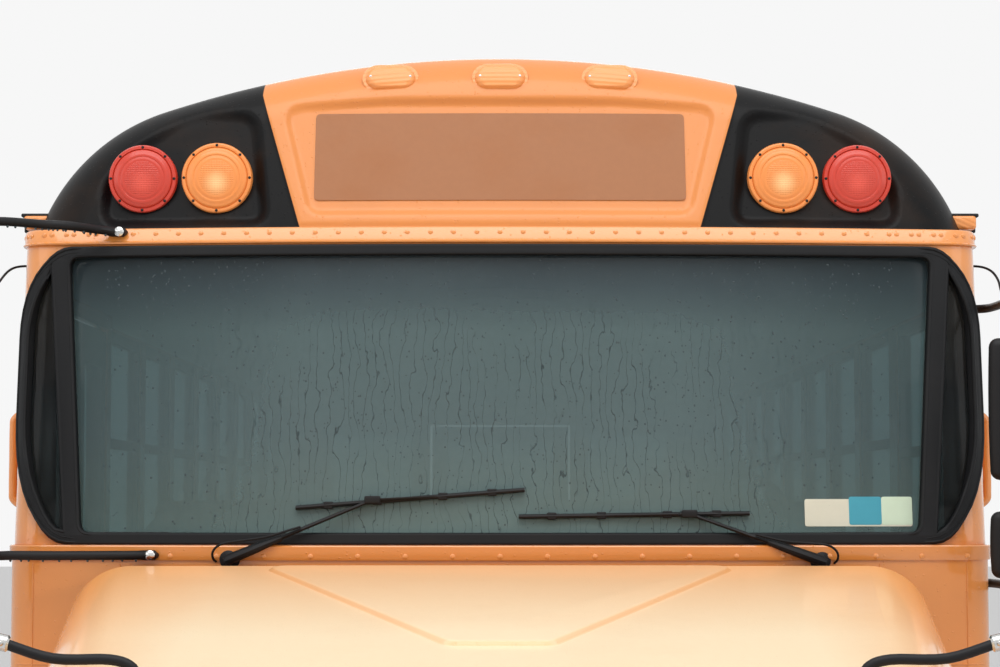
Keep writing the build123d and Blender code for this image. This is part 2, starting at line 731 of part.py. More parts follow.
# Rear end with the emergency door opening, two side windows and the holes for a number plate
plate_x = 690
plate_z = 1660
plate_span = 178
plate_rise = 121
plate_hole = 3.5
rear_window_x = (560, inner_half - 120)
rear_window_z = (1800, 2380)
rear_bevel = 40
with BuildPart() as rear_end:
    add(roof_solid(rear_wall_y, body_back, 0))
    block((-body_half, body_half), (rear_wall_y, body_back), (skirt_low, eave))
    rim = rear_end.faces().sort_by(Axis.Y)[-1].edges()
    chamfer([edge for edge in rim if edge.center().Z > skirt_low + 1], length=rear_bevel)
    block((-rear_door_half, rear_door_half), (rear_wall_y - 1, body_back + 1), (rear_door_low, rear_door_high),
          mode=Mode.SUBTRACT)
    for side in (1, -1):
        block(sided(rear_window_x, side), (rear_wall_y - 1, body_back + 1), rear_window_z, mode=Mode.SUBTRACT)
    block((-tunnel_half, tunnel_half), (rear_wall_y - 1, body_back + 1), (skirt_low - 1, tunnel_top), mode=Mode.SUBTRACT)
    for x in (plate_x - plate_span / 2, plate_x + plate_span / 2):
        for z in (plate_z - plate_rise / 2, plate_z + plate_rise / 2):
            rod((x, rear_wall_y - 1, z), (x, body_back + 1, z), plate_hole, mode=Mode.SUBTRACT)
save(rear_end.part, "rear_end")

with BuildPart() as cabin_glass:
    for panes in cabin_panes:
        add(panes)
    for side in (1, -1):
        block(sided(rear_window_x, side), (rear_wall_y + 20, rear_wall_y + 20 + glass), rear_window_z)
save(cabin_glass.part, "cabin_glass")

# Entry door: two leaves on upright pins, opening outward
pin_y = {"entry_door_front": (door_front + 35, 1), "entry_door_rear": (door_back - 35, -1)}
leaf_x = (-body_half, -body_half + door_thick)
door_middle = (door_front + door_back) / 2
for name, (pin, toward) in pin_y.items():
    edge = pin - toward * hinge_inset
    free = door_middle - toward * 5
    span = tuple(sorted((edge, free)))
    with BuildPart() as leaf:
        block(leaf_x, span, (door_low + 10, door_high - 10))
        for low, high in ((door_low + 120, door_low + 900), (door_low + 1000, door_high - 120)):
            block((leaf_x[0] - 1, leaf_x[1] + 1), (span[0] + 60, span[1] - 60), (low, high), mode=Mode.SUBTRACT)
        rod((-body_half + hinge_inset, pin, door_low + fit), (-body_half + hinge_inset, pin, door_high - fit), pin_radius)
    save(leaf.part, name)
    with BuildPart() as pane:
        for low, high in ((door_low + 120, door_low + 900), (door_low + 1000, door_high - 120)):
            block((leaf_x[0] + 17, leaf_x[0] + 17 + glass), (span[0] + 60, span[1] - 60), (low, high))
    save(pane.part, name.replace("door", "glass"))

# Emergency door at the rear, on upright pins at the bus's right
rear_pin_x = -rear_door_half + 35
with BuildPart() as emergency_door:
    leaf = (rear_pin_x - hinge_inset, rear_door_half - 10)
    block(leaf, (body_back - door_thick, body_back), (rear_door_low + 10, rear_door_high - 10))
    for low, high in ((rear_door_low + 120, rear_door_low + 620), (1800, 2340)):
        block((leaf[0] + 90, leaf[1] - 90), (rear_wall_y - 1, body_back + 1), (low, high), mode=Mode.SUBTRACT)
    rod((rear_pin_x, body_back - hinge_inset, rear_door_low + fit),
        (rear_pin_x, body_back - hinge_inset, rear_door_high - fit), pin_radius)
save(emergency_door.part, "emergency_door")

with BuildPart() as emergency_glass:
    for low, high in ((rear_door_low + 120, rear_door_low + 620), (1800, 2340)):
        block((leaf[0] + 90, leaf[1] - 90), (body_back - 24, body_back - 24 + glass), (low, high))
save(emergency_glass.part, "emergency_glass")

# Stop arm: an eight-sided plate on the bracket below the driver's window
with BuildPart() as stop_arm:
    rod((stop_x, stop_y, stop_z - 45 + fit), (stop_x, stop_y, stop_z + 45 - fit), 10)
    block((stop_x - 8, stop_x + 8), (stop_y, stop_y + 60), (stop_z - 30, stop_z + 30))
    with BuildSketch(Plane.YZ.offset(stop_x - 8)):
        with Locations((stop_y + stop_reach, stop_z)):
            RegularPolygon(stop_inner, 8, major_radius=False, rotation=22.5)
    extrude(amount=16)
save(stop_arm.part, "stop_arm")


def hood_level(y):
    """Level of the hood's top beside its raised panel."""
    return hood_edge_top - (hood_back - y) * tan(radians(hood_slope))


def hood_half(y):
    """Half width of the hood's centre part."""
    return shoulder_rear - (shoulder_rear - shoulder_nose) * (hood_back - y) / (hood_back - hood_front)


def hood_centre(inset, bevelled):
    """The hood's tapering centre between its shoulders, with its upper edges rounded or bevelled."""
    back = hood_back + inset
    front = hood_front + inset
    low = hood_low - inset
    with BuildPart() as body:
        with BuildSketch(Plane.YZ.offset(-shoulder_rear - 1)):
            with BuildLine():
                Polyline((back, low), (back, hood_level(back) - inset), (nose_top_y + inset, hood_level(nose_top_y) - inset),
                         (front, nose_bend), (front, low), close=True)
            make_face()
        extrude(amount=2 * shoulder_rear + 2)
        with BuildSketch(Plane.XY.offset(low)):
            with BuildLine():
                rear_half = hood_half(back) - inset
                nose_half = hood_half(front) - inset
                Polyline((-rear_half, back), (rear_half, back), (nose_half, front), (-nose_half, front), close=True)
            make_face()
        extrude(amount=2 * hood_edge_top, mode=Mode.INTERSECT)
        upper = [edge for edge in body.edges() if edge.center().Z > nose_bend + 20 and edge.center().Y < back - 5]
        if bevelled:
            chamfer(upper, length=hood_round / 2)
        else:
            fillet(upper, radius=hood_round - inset)
    return body.part


def hood_fenders(inset):
    """Both fenders as one body under the centre part, with rounded front corners."""
    back = hood_back + inset
    front = hood_front + inset
    low = hood_low - inset
    right_side = [(fender_half - inset, low), (fender_half - inset, fender_waist - inset / 2),
                  (fender_shelf[0] - inset, fender_shelf[1] - inset), (fender_inner[0], fender_inner[1] - inset)]
    with BuildPart() as body:
        with BuildSketch(Plane.XZ.offset(-back)):
            with BuildLine():
                Polyline(*right_side, *[(-x, z) for x, z in reversed(right_side)], close=True)
            make_face()
        extrude(amount=back - front)
        with BuildSketch(Plane.YZ.offset(-fender_half - 1)):
            with BuildLine():
                Polyline((back + 1, low - 1), (back + 1, hood_edge_top), (front + fender_fall[0], hood_edge_top),
                         (front + fender_fall[0], fender_inner[1] + 1 - inset), (front, fender_fall[1] - inset / 2),
                         (front, low - 1), close=True)
            make_face()
        extrude(amount=2 * fender_half + 2, mode=Mode.INTERSECT)
        corners = [edge for edge in body.edges().filter_by(Axis.Z) if edge.center().Y < front + 1]
        fillet(corners, radius=fender_round - inset)
    return body.part


def hood_solid(inset, bevelled=False):
    """The hood's outside, or its inside when inset."""
    with BuildPart() as body:
        add(hood_centre(inset, bevelled))
        add(hood_fenders(inset))
    return body.part


grille_half = 430
grille_low = 970
grille_high = 1280
lamp_x = (620, 940)
lamp_z = (880, 1060)
nose_cut = hood_front + 180
slope = radians(hood_slope)
panel_plane = Plane(origin=(0, hood_back, hood_edge_top), x_dir=(1, 0, 0), z_dir=(0, -sin(slope), cos(slope)))
panel_half = [(620, 20), (599, -165), (450, -503), (187, -1017), (115, -1088)]
with BuildPart() as hood:
    add(hood_solid(0))
    with BuildSketch(panel_plane) as panel_outline:
        with BuildLine():
            Polyline(*panel_half, *[(-x, run) for x, run in reversed(panel_half)], close=True)
        make_face()
    extrude(amount=panel_rise, taper=30)
    block((-shoulder_rear, shoulder_rear), (hood_back, hood_back + 100), (nose_bend, 2 * hood_edge_top),
          mode=Mode.SUBTRACT)
    add(hood_solid(hood_skin, True), mode=Mode.SUBTRACT)
    rod((-body_half - 50, front_axle_y, tyre_radius), (body_half + 50, front_axle_y, tyre_radius), arch_radius,
        mode=Mode.SUBTRACT)
    block((-grille_half, grille_half), (front_y, nose_cut), (grille_low, grille_high), mode=Mode.SUBTRACT)
    block((-tunnel_half, tunnel_half), (front_y, nose_cut), (hood_low - 1, tunnel_top), mode=Mode.SUBTRACT)
    for side in (1, -1):
        block(sided(lamp_x, side), (front_y, nose_cut), lamp_z, mode=Mode.SUBTRACT)
    for side in (1, -1):
        block(sided((tunnel_half, tunnel_half + 30), side), (hood_pivot_y - 28, hood_pivot_y + 30),
              (hood_pivot_z - 35, hood_pivot_z + 40))
        rod((side * (rail_outer + fit), hood_pivot_y, hood_pivot_z), (side * (tunnel_half + 10), hood_pivot_y, hood_pivot_z),
            14)
save(hood.part, "hood")

# Grille: a frame with level slats
slat_count = 5
slat_pitch = (grille_high - grille_low - 2 * 20) / slat_count
with BuildPart() as grille:
    block((-grille_half, grille_half), (hood_front + 8, hood_front + 30), (grille_low, grille_high))
    for number in range(slat_count):
        low = grille_low + 20 + number * slat_pitch
        block((-grille_half + 25, grille_half - 25), (hood_front + 7, hood_front + 31), (low + 8, low + slat_pitch - 8),
              mode=Mode.SUBTRACT)
save(grille.part, "grille")

with BuildPart() as headlamps:
    for side in (1, -1):
        block(sided(lamp_x, side), (hood_front + 10, hood_front + 55), lamp_z)
save(headlamps.part, "headlamps")

# Cross-view mirrors: an arm on each side of the hood and a domed head
crossview_y = hood_front + 270
crossview_foot = 700
crossview_clamp = (crossview_foot + 262, 1687)
crossview_head = (body_half - 135, 1720)
crossview_radius = 115
crossview_places = {side: (side * crossview_head[0], crossview_head[1]) for side in (1, -1)}
with BuildPart() as crossview_mirrors:
    for side in (1, -1):
        foot = (side * crossview_foot, crossview_y, hood_level(crossview_y) - 10)
        knee = (side * (crossview_foot + 50), crossview_y, hood_level(crossview_y) + 34)
        clamp = (side * crossview_clamp[0], crossview_y, crossview_clamp[1])
        head = (side * crossview_head[0], crossview_y, crossview_head[1])
        bar(foot, knee, 11)
        bar(knee, clamp, 11)
        bar(clamp, head, 11)
        for start, depth, near, far in ((0, 16, 0.97, 1), (16, 22, 1, 0.82), (38, 14, 0.82, 0.5)):
            with BuildPart() as ring:
                for run, share in ((start, near), (start + depth, far)):
                    with BuildSketch(Plane.XZ.offset(-(crossview_y - 16 + run))):
                        with Locations(crossview_places[side]):
                            Circle(share * crossview_radius)
                loft(ruled=True)
            add(ring.part)
    with BuildSketch(Plane.YZ.offset(-shoulder_rear)):
        with BuildLine():
            Polyline((hood_back, nose_bend), (hood_back, hood_level(hood_back) + fit),
                     (nose_top_y, hood_level(nose_top_y) + fit), (nose_top_y, nose_bend), close=True)
        make_face()
    extrude(amount=2 * shoulder_rear, mode=Mode.SUBTRACT)
save(crossview_mirrors.part, "crossview_mirrors")

# Side mirrors: two arms, an upright tube and two heads each; the arms start on the front at the entry side and on
# the corner at the driver's side
handle_y = (seal_back + module_back) / 2
handle_radius = 12
mirror_x = body_half + 65
mirror_inner = mirror_x - 105
mirror_outer = mirror_x + 95
mirror_y = cowl_y - 70
mirror_z = (1700, 2500)
mirror_heads = ((2010, 2356), (1770, 1930))
with BuildPart() as mirrors:
    for side in (1, -1):
        if side == -1:
            upper = [(mirror_x - 326, cowl_y + 260, 2650), (mirror_x - 300, cowl_y + 150, 2652),
                     (mirror_x - 60, cowl_y - 30, 2655), (mirror_x, mirror_y, 2600), (mirror_x, mirror_y, 2490)]
            lower = [(mirror_x - 460, cowl_y + 60, 1825), (mirror_x - 410, cowl_y - 12, 1822),
                     (mirror_x - 60, cowl_y - 40, 1820), (mirror_x, mirror_y, 1780)]
        else:
            upper = [(body_half + fit, handle_y, 2470), (mirror_x - 20, handle_y, 2470),
                     (mirror_x, handle_y - 60, 2470), (mirror_x, mirror_y, 2470)]
            lower = [(x, y, 1740) for x, y, _ in upper]
        for arm in (upper, lower):
            for (x, y, z), (next_x, next_y, next_z) in zip(arm, arm[1:]):
                bar((side * x, y, z), (side * next_x, next_y, next_z), 12)
        bar((side * mirror_x, mirror_y, mirror_z[0]), (side * mirror_x, mirror_y, mirror_z[1]), 14)
        for low, high in mirror_heads:
            with BuildSketch(Plane.XZ.offset(-mirror_y)) as head:
                with Locations((side * (mirror_inner + mirror_outer) / 2, (low + high) / 2)):
                    RectangleRounded(mirror_outer - mirror_inner, high - low, 30)
            extrude(head.sketch, amount=40, dir=(0, -1, 0))
    add(front_solid(cowl_top + 1, crown_top + 60, nose_front, fit, cap_back), mode=Mode.SUBTRACT)
    add(front_solid(cowl_low, cowl_top + fit, lambda level: cowl_y, fit), mode=Mode.SUBTRACT)
save(mirrors.part, "mirrors")

# Grab handles at the front corners
handle_x = body_half + 54
handle_z = (1940, 2196)
handle_slope = 40
with BuildPart() as grab_handles:
    for side in (1, -1):
        foot_x = side * (body_half + fit)
        bar((side * handle_x, handle_y, handle_z[0] + handle_slope),
            (side * handle_x, handle_y, handle_z[1] - handle_slope), handle_radius)
        for level, toward in ((handle_z[0], 1), (handle_z[1], -1)):
            knee = (side * handle_x, handle_y, level + toward * handle_slope)
            bar((foot_x, handle_y, level), (foot_x + side * 20, handle_y, level), handle_radius)
            bar((foot_x + side * 14, handle_y, level), knee, handle_radius)
save(grab_handles.part, "grab_handles")



def cap_face(x, level):
    """Y of the front cap's bowed face at a place on it."""
    return nose_front(level) + bow_radius - sqrt(bow_radius ** 2 - x ** 2)


# Warning lamps in the cap's recesses: a flange and a lens
lamp_level = 2797
lamp_sides = 24
lamp_rows = {"red_lamps": (934, 89), "amber_lamps": (738, 92)}
for name, (lamp_centre, radius) in lamp_rows.items():
    face = cap_face(lamp_centre, lamp_level)
    with BuildPart() as lamps:
        for side in (1, -1):
            x = side * lamp_centre
            bar((x, face + 3 * pocket_depth, lamp_level), (x, face - 8, lamp_level), radius, lamp_sides)
            bar((x, face - 8, lamp_level), (x, face - 28, lamp_level), radius - 16, lamp_sides)
        add(ahead_of_face(pocket_depth - fit), mode=Mode.INTERSECT)
    save(lamps.part, name)

# Marker lamps: three ovals over the sign and a hooded box at each upper corner
marker_places = (-289, 0, 289)
marker_level = 3068
marker_size = (130, 55)
corner_lamp_z = (2672, 2718)
corner_lamp_y = module_back - 110
corner_lamp_inner = body_half - 60
with BuildPart() as marker_lamps:
    for place in marker_places:
        face = cap_face(place, marker_level)
        with BuildSketch(Plane.XZ.offset(-(face - 26))) as oval:
            with Locations((place, marker_level)):
                SlotOverall(*marker_size)
        extrude(oval.sketch, amount=40, dir=(0, 1, 0))
    for side in (1, -1):
        block(sided((corner_lamp_inner, body_half + 30), side), (corner_lamp_y, corner_lamp_y + 70), corner_lamp_z)
    add(cap_solid(-fit, *cap_bevels), mode=Mode.SUBTRACT)
save(marker_lamps.part, "marker_lamps")

# Wipers: pivots on the cowl, arms over the seal, blades along the glass
blade_off = 20
wiper_set = (
    {"pivot": (-675, 1812), "elbow": (-320, 1960), "blade": ((-514, 1940), (62, 1985))},
    {"pivot": (802, 1808), "elbow": (475, 1925), "blade": ((47, 1918), (628, 1926))},
)


def glass_point(x, level):
    """A point ahead of the windshield glass by the blade's clearance."""
    sag = bow_radius - sqrt(bow_radius ** 2 - x ** 2)
    return (x, windshield_front(level) + sag + wall / 3 - blade_off, level)


with BuildPart() as wipers:
    for wiper in wiper_set:
        pivot_x, pivot_z = wiper["pivot"]
        sag = bow_radius - sqrt(bow_radius ** 2 - pivot_x ** 2)
        rod((pivot_x, cowl_y + sag + 60, pivot_z), (pivot_x, cowl_y + sag - 30, pivot_z), 16)
        bar((pivot_x, cowl_y + sag - 22, pivot_z), glass_point(*wiper["elbow"]), 8, sides=6)
        bar(glass_point(*wiper["blade"][0]), glass_point(*wiper["blade"][1]), 9, sides=6)
    add(front_solid(cowl_low, cowl_top, lambda level: cowl_y, fit), mode=Mode.SUBTRACT)
save(wipers.part, "wipers")

# Dashboard with the steering column and wheel
steer_lean = 40
steer_x = 570
steer_y = module_back + 120
steer_z = 1890
steer_dir = (0, sin(radians(steer_lean)), cos(radians(steer_lean)))
wheel_centre = (steer_x, steer_y, steer_z)
column_foot = (steer_x, steer_y - 270 * steer_dir[1], steer_z - 270 * steer_dir[2])
wheel_plane = Plane(origin=wheel_centre, x_dir=(1, 0, 0), z_dir=steer_dir)
dash_front = cowl_y + 115
with BuildPart() as dashboard:
    with BuildSketch(Plane.YZ.offset(-650)):
        with BuildLine():
            Polyline((dash_front, floor_low), (dash_front, 1800), (module_back - 30, 1760), (module_back + 10, 1640),
                     (module_back - 110, 1500), (floor_front, floor_top), (floor_front, floor_low), close=True)
        make_face()
    extrude(amount=1700)
    rod(column_foot, wheel_centre, 30)
    with BuildSketch(wheel_plane):
        Circle(228)
        Circle(200, mode=Mode.SUBTRACT)
        Circle(45)
        Rectangle(404, 36)
    extrude(amount=24)
save(dashboard.part, "dashboard")

# Driver's seat and the passenger benches
seat_y = module_back + 450
with BuildPart() as driver_seat:
    block((steer_x - 140, steer_x + 140), (seat_y + 50, seat_y + 400), (floor_top, 1400))
    block((steer_x - 250, steer_x + 250), (seat_y, seat_y + 480), (1400, 1510))
    block((steer_x - 230, steer_x + 230), (seat_y + 480, seat_y + 580), (1400, 2050))
save(driver_seat.part, "driver_seat")

first_seat = first_window + 45
bench_depth = 480
seat_rows = int((rear_wall_y - 700 - bench_depth - first_seat) // window_pitch) + 1
aisle_half = 200
bench_outer = inner_half - 20
with BuildPart() as seats:
    for side in (1, -1):
        for row in range(seat_rows):
            start = first_seat + row * window_pitch
            block(sided((aisle_half, bench_outer), side), (start, start + bench_depth - 80), (1380, 1500))
            block(sided((aisle_half, bench_outer), side), (start + bench_depth - 80, start + bench_depth), (1380, 1960))
            block(sided((aisle_half + 100, aisle_half + 140), side), (start + 60, start + bench_depth - 40),
                  (floor_top, 1380))
        rod((side * (housing_inner - fit), rear_axle_y, tyre_radius), (side * inner_half, rear_axle_y, tyre_radius),
            housing_radius_out + fit, mode=Mode.SUBTRACT)
save(seats.part, "seats")

# Rear lamps
with BuildPart() as rear_lamps:
    for side in (1, -1):
        for lamp, level, radius in ((900, 1450, 85), (900, 1240, 85), (700, 2700, 85), (480, 2720, 85)):
            bar((side * lamp, body_back, level), (side * lamp, body_back + 28, level), radius, lamp_sides)
save(rear_lamps.part, "rear_lamps")
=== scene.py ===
import bmesh
import bpy
import random
from math import acos, asin, atan2, cos, degrees, pi, radians, sin, sqrt, tan
from mathutils import Matrix, Vector


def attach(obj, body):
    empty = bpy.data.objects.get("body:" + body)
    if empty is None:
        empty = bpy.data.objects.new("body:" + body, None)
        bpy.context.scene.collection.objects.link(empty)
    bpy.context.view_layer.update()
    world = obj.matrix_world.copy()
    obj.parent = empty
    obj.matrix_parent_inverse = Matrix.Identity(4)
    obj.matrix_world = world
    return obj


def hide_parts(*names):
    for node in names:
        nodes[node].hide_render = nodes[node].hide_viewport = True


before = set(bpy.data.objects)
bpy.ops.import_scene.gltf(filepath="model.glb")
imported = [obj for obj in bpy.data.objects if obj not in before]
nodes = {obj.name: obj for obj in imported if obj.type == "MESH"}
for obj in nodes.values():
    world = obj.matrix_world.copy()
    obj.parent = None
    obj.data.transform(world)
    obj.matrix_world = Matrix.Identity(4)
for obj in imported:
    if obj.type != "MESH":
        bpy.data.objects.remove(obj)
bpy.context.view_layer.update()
random.seed(31)

# Sizes of the bus, in metres and radians
body_half = 1.245
bow_radius = 9.0
corner_radius = 0.08
cowl_y = -3.88
cowl_top = 1.844
strip_low = 2.624
windshield_lean = radians(8)
cap_lean = radians(15)
cap_round = 0.125
eave = 2.525
shoulder_radius = 0.5
crown_radius = 2.88
module_back = -3.45
cap_back = -3.30
crown_base = eave - sqrt((crown_radius - shoulder_radius) ** 2 - (body_half - shoulder_radius) ** 2)
tyre_radius = 0.52
front_axle_y = -4.65
rear_axle_y = 1.8
hood_back = -3.915
hood_front = -5.48
hood_top = 1.797
hood_slope = radians(8.4)
first_window = -2.195
window_pitch = 0.711
rear_wall_y = 5.455
body_back = 5.5
stripe_level = 2.66
stripe_top = 3.03
stripe_foot = 0.517
stripe_slope = 0.30
stripe_rise = 0.003
sign_depth = 0.013
lamp_depth = 0.024
sill_depth = 0.03
glass_low = 1.88
glass_high = 2.59
mirror_reach = 1.401
arch_radius = 0.606
twin_half = 0.170
bench_rail = 1.372
stop_y = -3.002
stop_level = 1.33
SIDES = ((1, "left"), (-1, "right"))
AHEAD = (0, -1, 0)
BEHIND = (0, 1, 0)
floor_top = 1.0405
rear_skin = 5.4995
rear_rubber = 5.5002
door_skin = -1.2448


# Node helpers
def srgb(red, green, blue):
    """A screen colour of 0 to 255 as a linear one."""
    out = []
    for level in (red, green, blue):
        level /= 255
        out.append(level / 12.92 if level <= 0.04045 else ((level + 0.055) / 1.055) ** 2.4)
    return (*out, 1.0)


class Nodes:
    """Adds nodes to a tree; inputs are given in order or by name, as values, outputs or whole nodes."""

    def __init__(self, tree):
        self.tree = tree

    def __call__(self, kind, *values, **settings):
        node = self.tree.nodes.new("ShaderNode" + kind)
        count = len(self.tree.nodes)
        node.location = (180 * (count % 8) - 1500, -250 * (count // 8))
        for key, value in settings.items():
            if key.islower():
                setattr(node, key, value)
        self.fill(node.inputs, **{key: value for key, value in settings.items() if not key.islower()})
        for entry, value in zip(node.inputs, values):
            self.join(value, entry)
        return node

    def join(self, value, entry):
        """Set an input to a value, or link it to an output or to a node's first output in use."""
        if isinstance(value, bpy.types.Node):
            value = next(output for output in value.outputs if output.enabled)
        if isinstance(value, bpy.types.NodeSocket):
            self.tree.links.new(value, entry)
        else:
            entry.default_value = value

    def fill(self, inputs, **values):
        for label, value in values.items():
            self.join(value, inputs[label.replace("_", " ")])

    def math(self, operation, *values):
        return self("Math", *values, operation=operation)

    def place(self, output="Object"):
        return self("TexCoord").outputs[output]

    def share(self, value, low, high, **settings):
        """How far a value is from low to high, from 0 to 1 unless settings say otherwise."""
        return self("MapRange", value, From_Min=low, From_Max=high, **settings)

    def blend(self, mask, color, other, kind="RGBA"):
        return self("Mix", data_type=kind, Factor=mask, A=color, B=other)


def new_group(name, inputs, outputs):
    """An empty shader group: the helper that adds to it, what goes in and what comes out."""
    group = bpy.data.node_groups.new(name, "ShaderNodeTree")
    for way, labels in (("INPUT", inputs), ("OUTPUT", outputs)):
        for label in labels:
            kind = "NodeSocketColor" if label.endswith("Color") else "NodeSocketFloat"
            socket = group.interface.new_socket(label, in_out=way, socket_type=kind)
            if way == "INPUT":
                socket.default_value = inputs[label]
    return Nodes(group), group.nodes.new("NodeGroupInput").outputs, group.nodes.new("NodeGroupOutput").inputs


def make_weathering():
    """Grime in soft patches, fine mottling and a rougher surface where it is dirty."""
    add, given, result = new_group(
        "Weathering", {"Color": (0.8, 0.8, 0.8, 1), "Grime Color": (0.1, 0.08, 0.06, 1), "Grime": 0.3, "Scale": 3.0,
                       "Roughness": 0.4, "Mottle": 0.05}, ("Color", "Roughness", "Height"))
    place = add.place()
    patches = add("TexNoise", Vector=place, Scale=given["Scale"], Detail=6.0, Roughness=0.62)
    amount = add.math("MULTIPLY", add.share(patches, 0.48, 0.78), given["Grime"])
    fine = add("TexNoise", Vector=place, Scale=60.0, Detail=3.0)
    mottle = add.math("MULTIPLY_ADD", add.math("SUBTRACT", fine, 0.5), given["Mottle"], 1.0)
    shade = add("VectorMath", given["Color"], Scale=mottle, operation="SCALE")
    rough = add.math("MULTIPLY_ADD", amount, 0.45, given["Roughness"])
    add.fill(result, Color=add.blend(amount, shade, given["Grime Color"]), Roughness=rough, Height=fine)
    return add.tree


def make_rain_beads():
    """Small round water beads scattered over a surface, as a height."""
    add, given, result = new_group("Rain beads", {"Scale": 90.0, "Cover": 0.35}, ("Height",))
    cells = add("TexVoronoi", Vector=add.place(), Scale=given["Scale"])
    drop = add.share(cells, 0.32, 0.05, interpolation_type="SMOOTHSTEP")
    pick = add("SeparateColor", cells.outputs["Color"]).outputs["Red"]
    add.fill(result, Height=add.math("MULTIPLY", drop, add.math("LESS_THAN", pick, given["Cover"])))
    return add.tree


def make_run_marks():
    """Thin wandering upright lines, such as water leaves as it runs down a misted pane."""
    add, given, result = new_group("Run marks", {"Across": 42.0, "Wander": 3.6, "Width": 0.055}, ("Mask",))
    place = add.place()
    split = add("SeparateXYZ", place).outputs
    scaled = add("VectorMath", place, (17.0, 2.0, 8.0), operation="MULTIPLY")
    sway = add.math("MULTIPLY", add("TexNoise", Vector=scaled, Scale=1.0, Detail=3.0, Roughness=0.5), given["Wander"])
    turn = add.math("FRACT", add.math("MULTIPLY_ADD", split["X"], given["Across"], sway))
    off = add.math("ABSOLUTE", add.math("SUBTRACT", turn, 0.5))
    line = add.share(off, 0.0, given["Width"], To_Min=1.0, To_Max=0.0)
    some = add.share(add("TexNoise", Vector=place, Scale=6.0, Detail=3.0), 0.34, 0.52)
    below = add.share(split["Z"], 2.50, 2.38)
    inside = add.share(add.math("ABSOLUTE", split["X"]), 0.90, 0.58)
    held = add.math("MULTIPLY", add.math("MULTIPLY", below, inside), some)
    add.fill(result, Mask=add.math("MULTIPLY", line, held))
    return add.tree


weathering = make_weathering()
rain_beads = make_rain_beads()
run_marks = make_run_marks()
DUST = srgb(120, 100, 82)
YELLOW_GRIME = srgb(196, 122, 62)
PALE_YELLOW = srgb(240, 158, 78)


def new_material(name):
    """A new material, the helper that adds to its nodes and its shader's inputs."""
    material = bpy.data.materials.new(name)
    material.use_nodes = True
    return material, Nodes(material.node_tree), material.node_tree.nodes["Principled BSDF"].inputs


def finish(name, color, rough=0.4, metal=0.0, coat=0.0, grime=0.25, grime_color=DUST, scale=2.5, mottle=0.06,
           bump=0.02, beads=0.0, bead_scale=90.0, sheen=0.0, gloss=0.5):
    """A painted, moulded or cast surface with grime, fine relief and, if wanted, rain beads."""
    material, add, shader = new_material(name)
    wear = add("Group", node_tree=weathering, Color=color, Grime_Color=grime_color, Grime=grime, Scale=scale,
               Roughness=rough, Mottle=mottle).outputs
    normal = add("Bump", Strength=bump, Distance=0.002, Height=wear["Height"])
    if beads:
        water = add("Group", node_tree=rain_beads, Scale=bead_scale, Cover=beads)
        normal = add("Bump", Strength=0.55, Distance=0.0015, Height=water, Normal=normal)
        add.fill(shader, Coat_Normal=normal)
    add.fill(shader, Base_Color=wear["Color"], Roughness=wear["Roughness"], Metallic=metal, Coat_Weight=coat,
             Coat_Roughness=0.08, Sheen_Weight=sheen, Specular_IOR_Level=gloss, Normal=normal)
    return material


def reopen(material):
    """The helper that adds to a finished material's nodes, its shader's inputs and its weathering's."""
    tree = material.node_tree
    wear = next(node for node in tree.nodes if node.type == "GROUP" and node.node_tree == weathering)
    return Nodes(tree), tree.nodes["Principled BSDF"].inputs, wear.inputs


def lens(name, color, core_highlight, glow):
    """A moulded lens: tinted, glossy, with fine concentric and radial ribs, its core brightened as a painted highlight,
    and the whole lens glowing faintly in these colours.
    """
    material = finish(name, color, rough=0.3, coat=0.25, grime=0.12, bump=0.05, gloss=0.4)
    add, shader, wear = reopen(material)
    place = add.place()
    flat = add("VectorMath", place, (1, 0, 1), operation="MULTIPLY")
    polar = add("VectorMath", flat, operation="LENGTH")
    wave = add.math("SINE", add.math("MULTIPLY", polar, 520.0))
    split = add("SeparateXYZ", place).outputs
    ribs = add.math("ADD", *(add.math("SINE", add.math("MULTIPLY", split[axis], pitch))
                             for axis, pitch in (("X", 1500.0), ("Z", 1100.0))))
    pattern = add.blend(add.math("LESS_THAN", polar, 0.046), wave, ribs, "FLOAT")
    # Painted highlight: the core colour is blended in round a spot a little below the lens's middle.
    lowered = add("VectorMath", flat, (0, 0, 0.014), operation="ADD")
    near = add.share(add("VectorMath", lowered, operation="LENGTH"), 0.0, 0.042, To_Min=0.6, To_Max=0.0,
                     interpolation_type="SMOOTHSTEP")
    shade = add.blend(near, shader["Base Color"].links[0].from_socket, core_highlight)
    add.fill(shader, Normal=add("Bump", Strength=0.3, Distance=0.0012, Height=pattern), Base_Color=shade,
             Emission_Color=shade, Emission_Strength=glow * 0.6)
    return material


def pane(name, film, levels, clear_color, runs, thin=1.0):
    """Misted glass: a film whose colour changes with level, over a clear tint, with run marks in the mist."""
    material, add, shader = new_material(name)
    split = add("SeparateXYZ", add.place()).outputs
    color = add("ValToRGB", add.share(split["Z"], glass_low, glass_high))
    stops = color.color_ramp.elements
    stops[0].position, stops[0].color = levels[0]
    stops[1].position, stops[1].color = levels[-1]
    for place, tone in levels[1:-1]:
        stops.new(place).color = tone
    if runs:
        color = add.blend(add.math("MULTIPLY", add("Group", node_tree=run_marks), runs), color, srgb(38, 50, 54))
    wear = add("Group", node_tree=weathering, Color=color, Grime_Color=srgb(112, 128, 130), Grime=0.22, Scale=1.6,
               Roughness=0.10, Mottle=0.14).outputs
    beads = add("Group", node_tree=rain_beads, Scale=170.0, Cover=0.35)
    add.fill(shader, Base_Color=wear["Color"], Roughness=wear["Roughness"], Specular_IOR_Level=0.35,
             Normal=add("Bump", Strength=0.4, Distance=0.001, Height=beads))
    cover = add.share(add.math("ABSOLUTE", split["X"]), 0.45, 1.0, To_Min=film, To_Max=film * thin)
    nodes_here = material.node_tree.nodes
    mixed = add("MixShader", cover, add("BsdfTransparent", Color=clear_color), nodes_here["Principled BSDF"])
    add.fill(nodes_here["Material Output"].inputs, Surface=mixed)
    return material


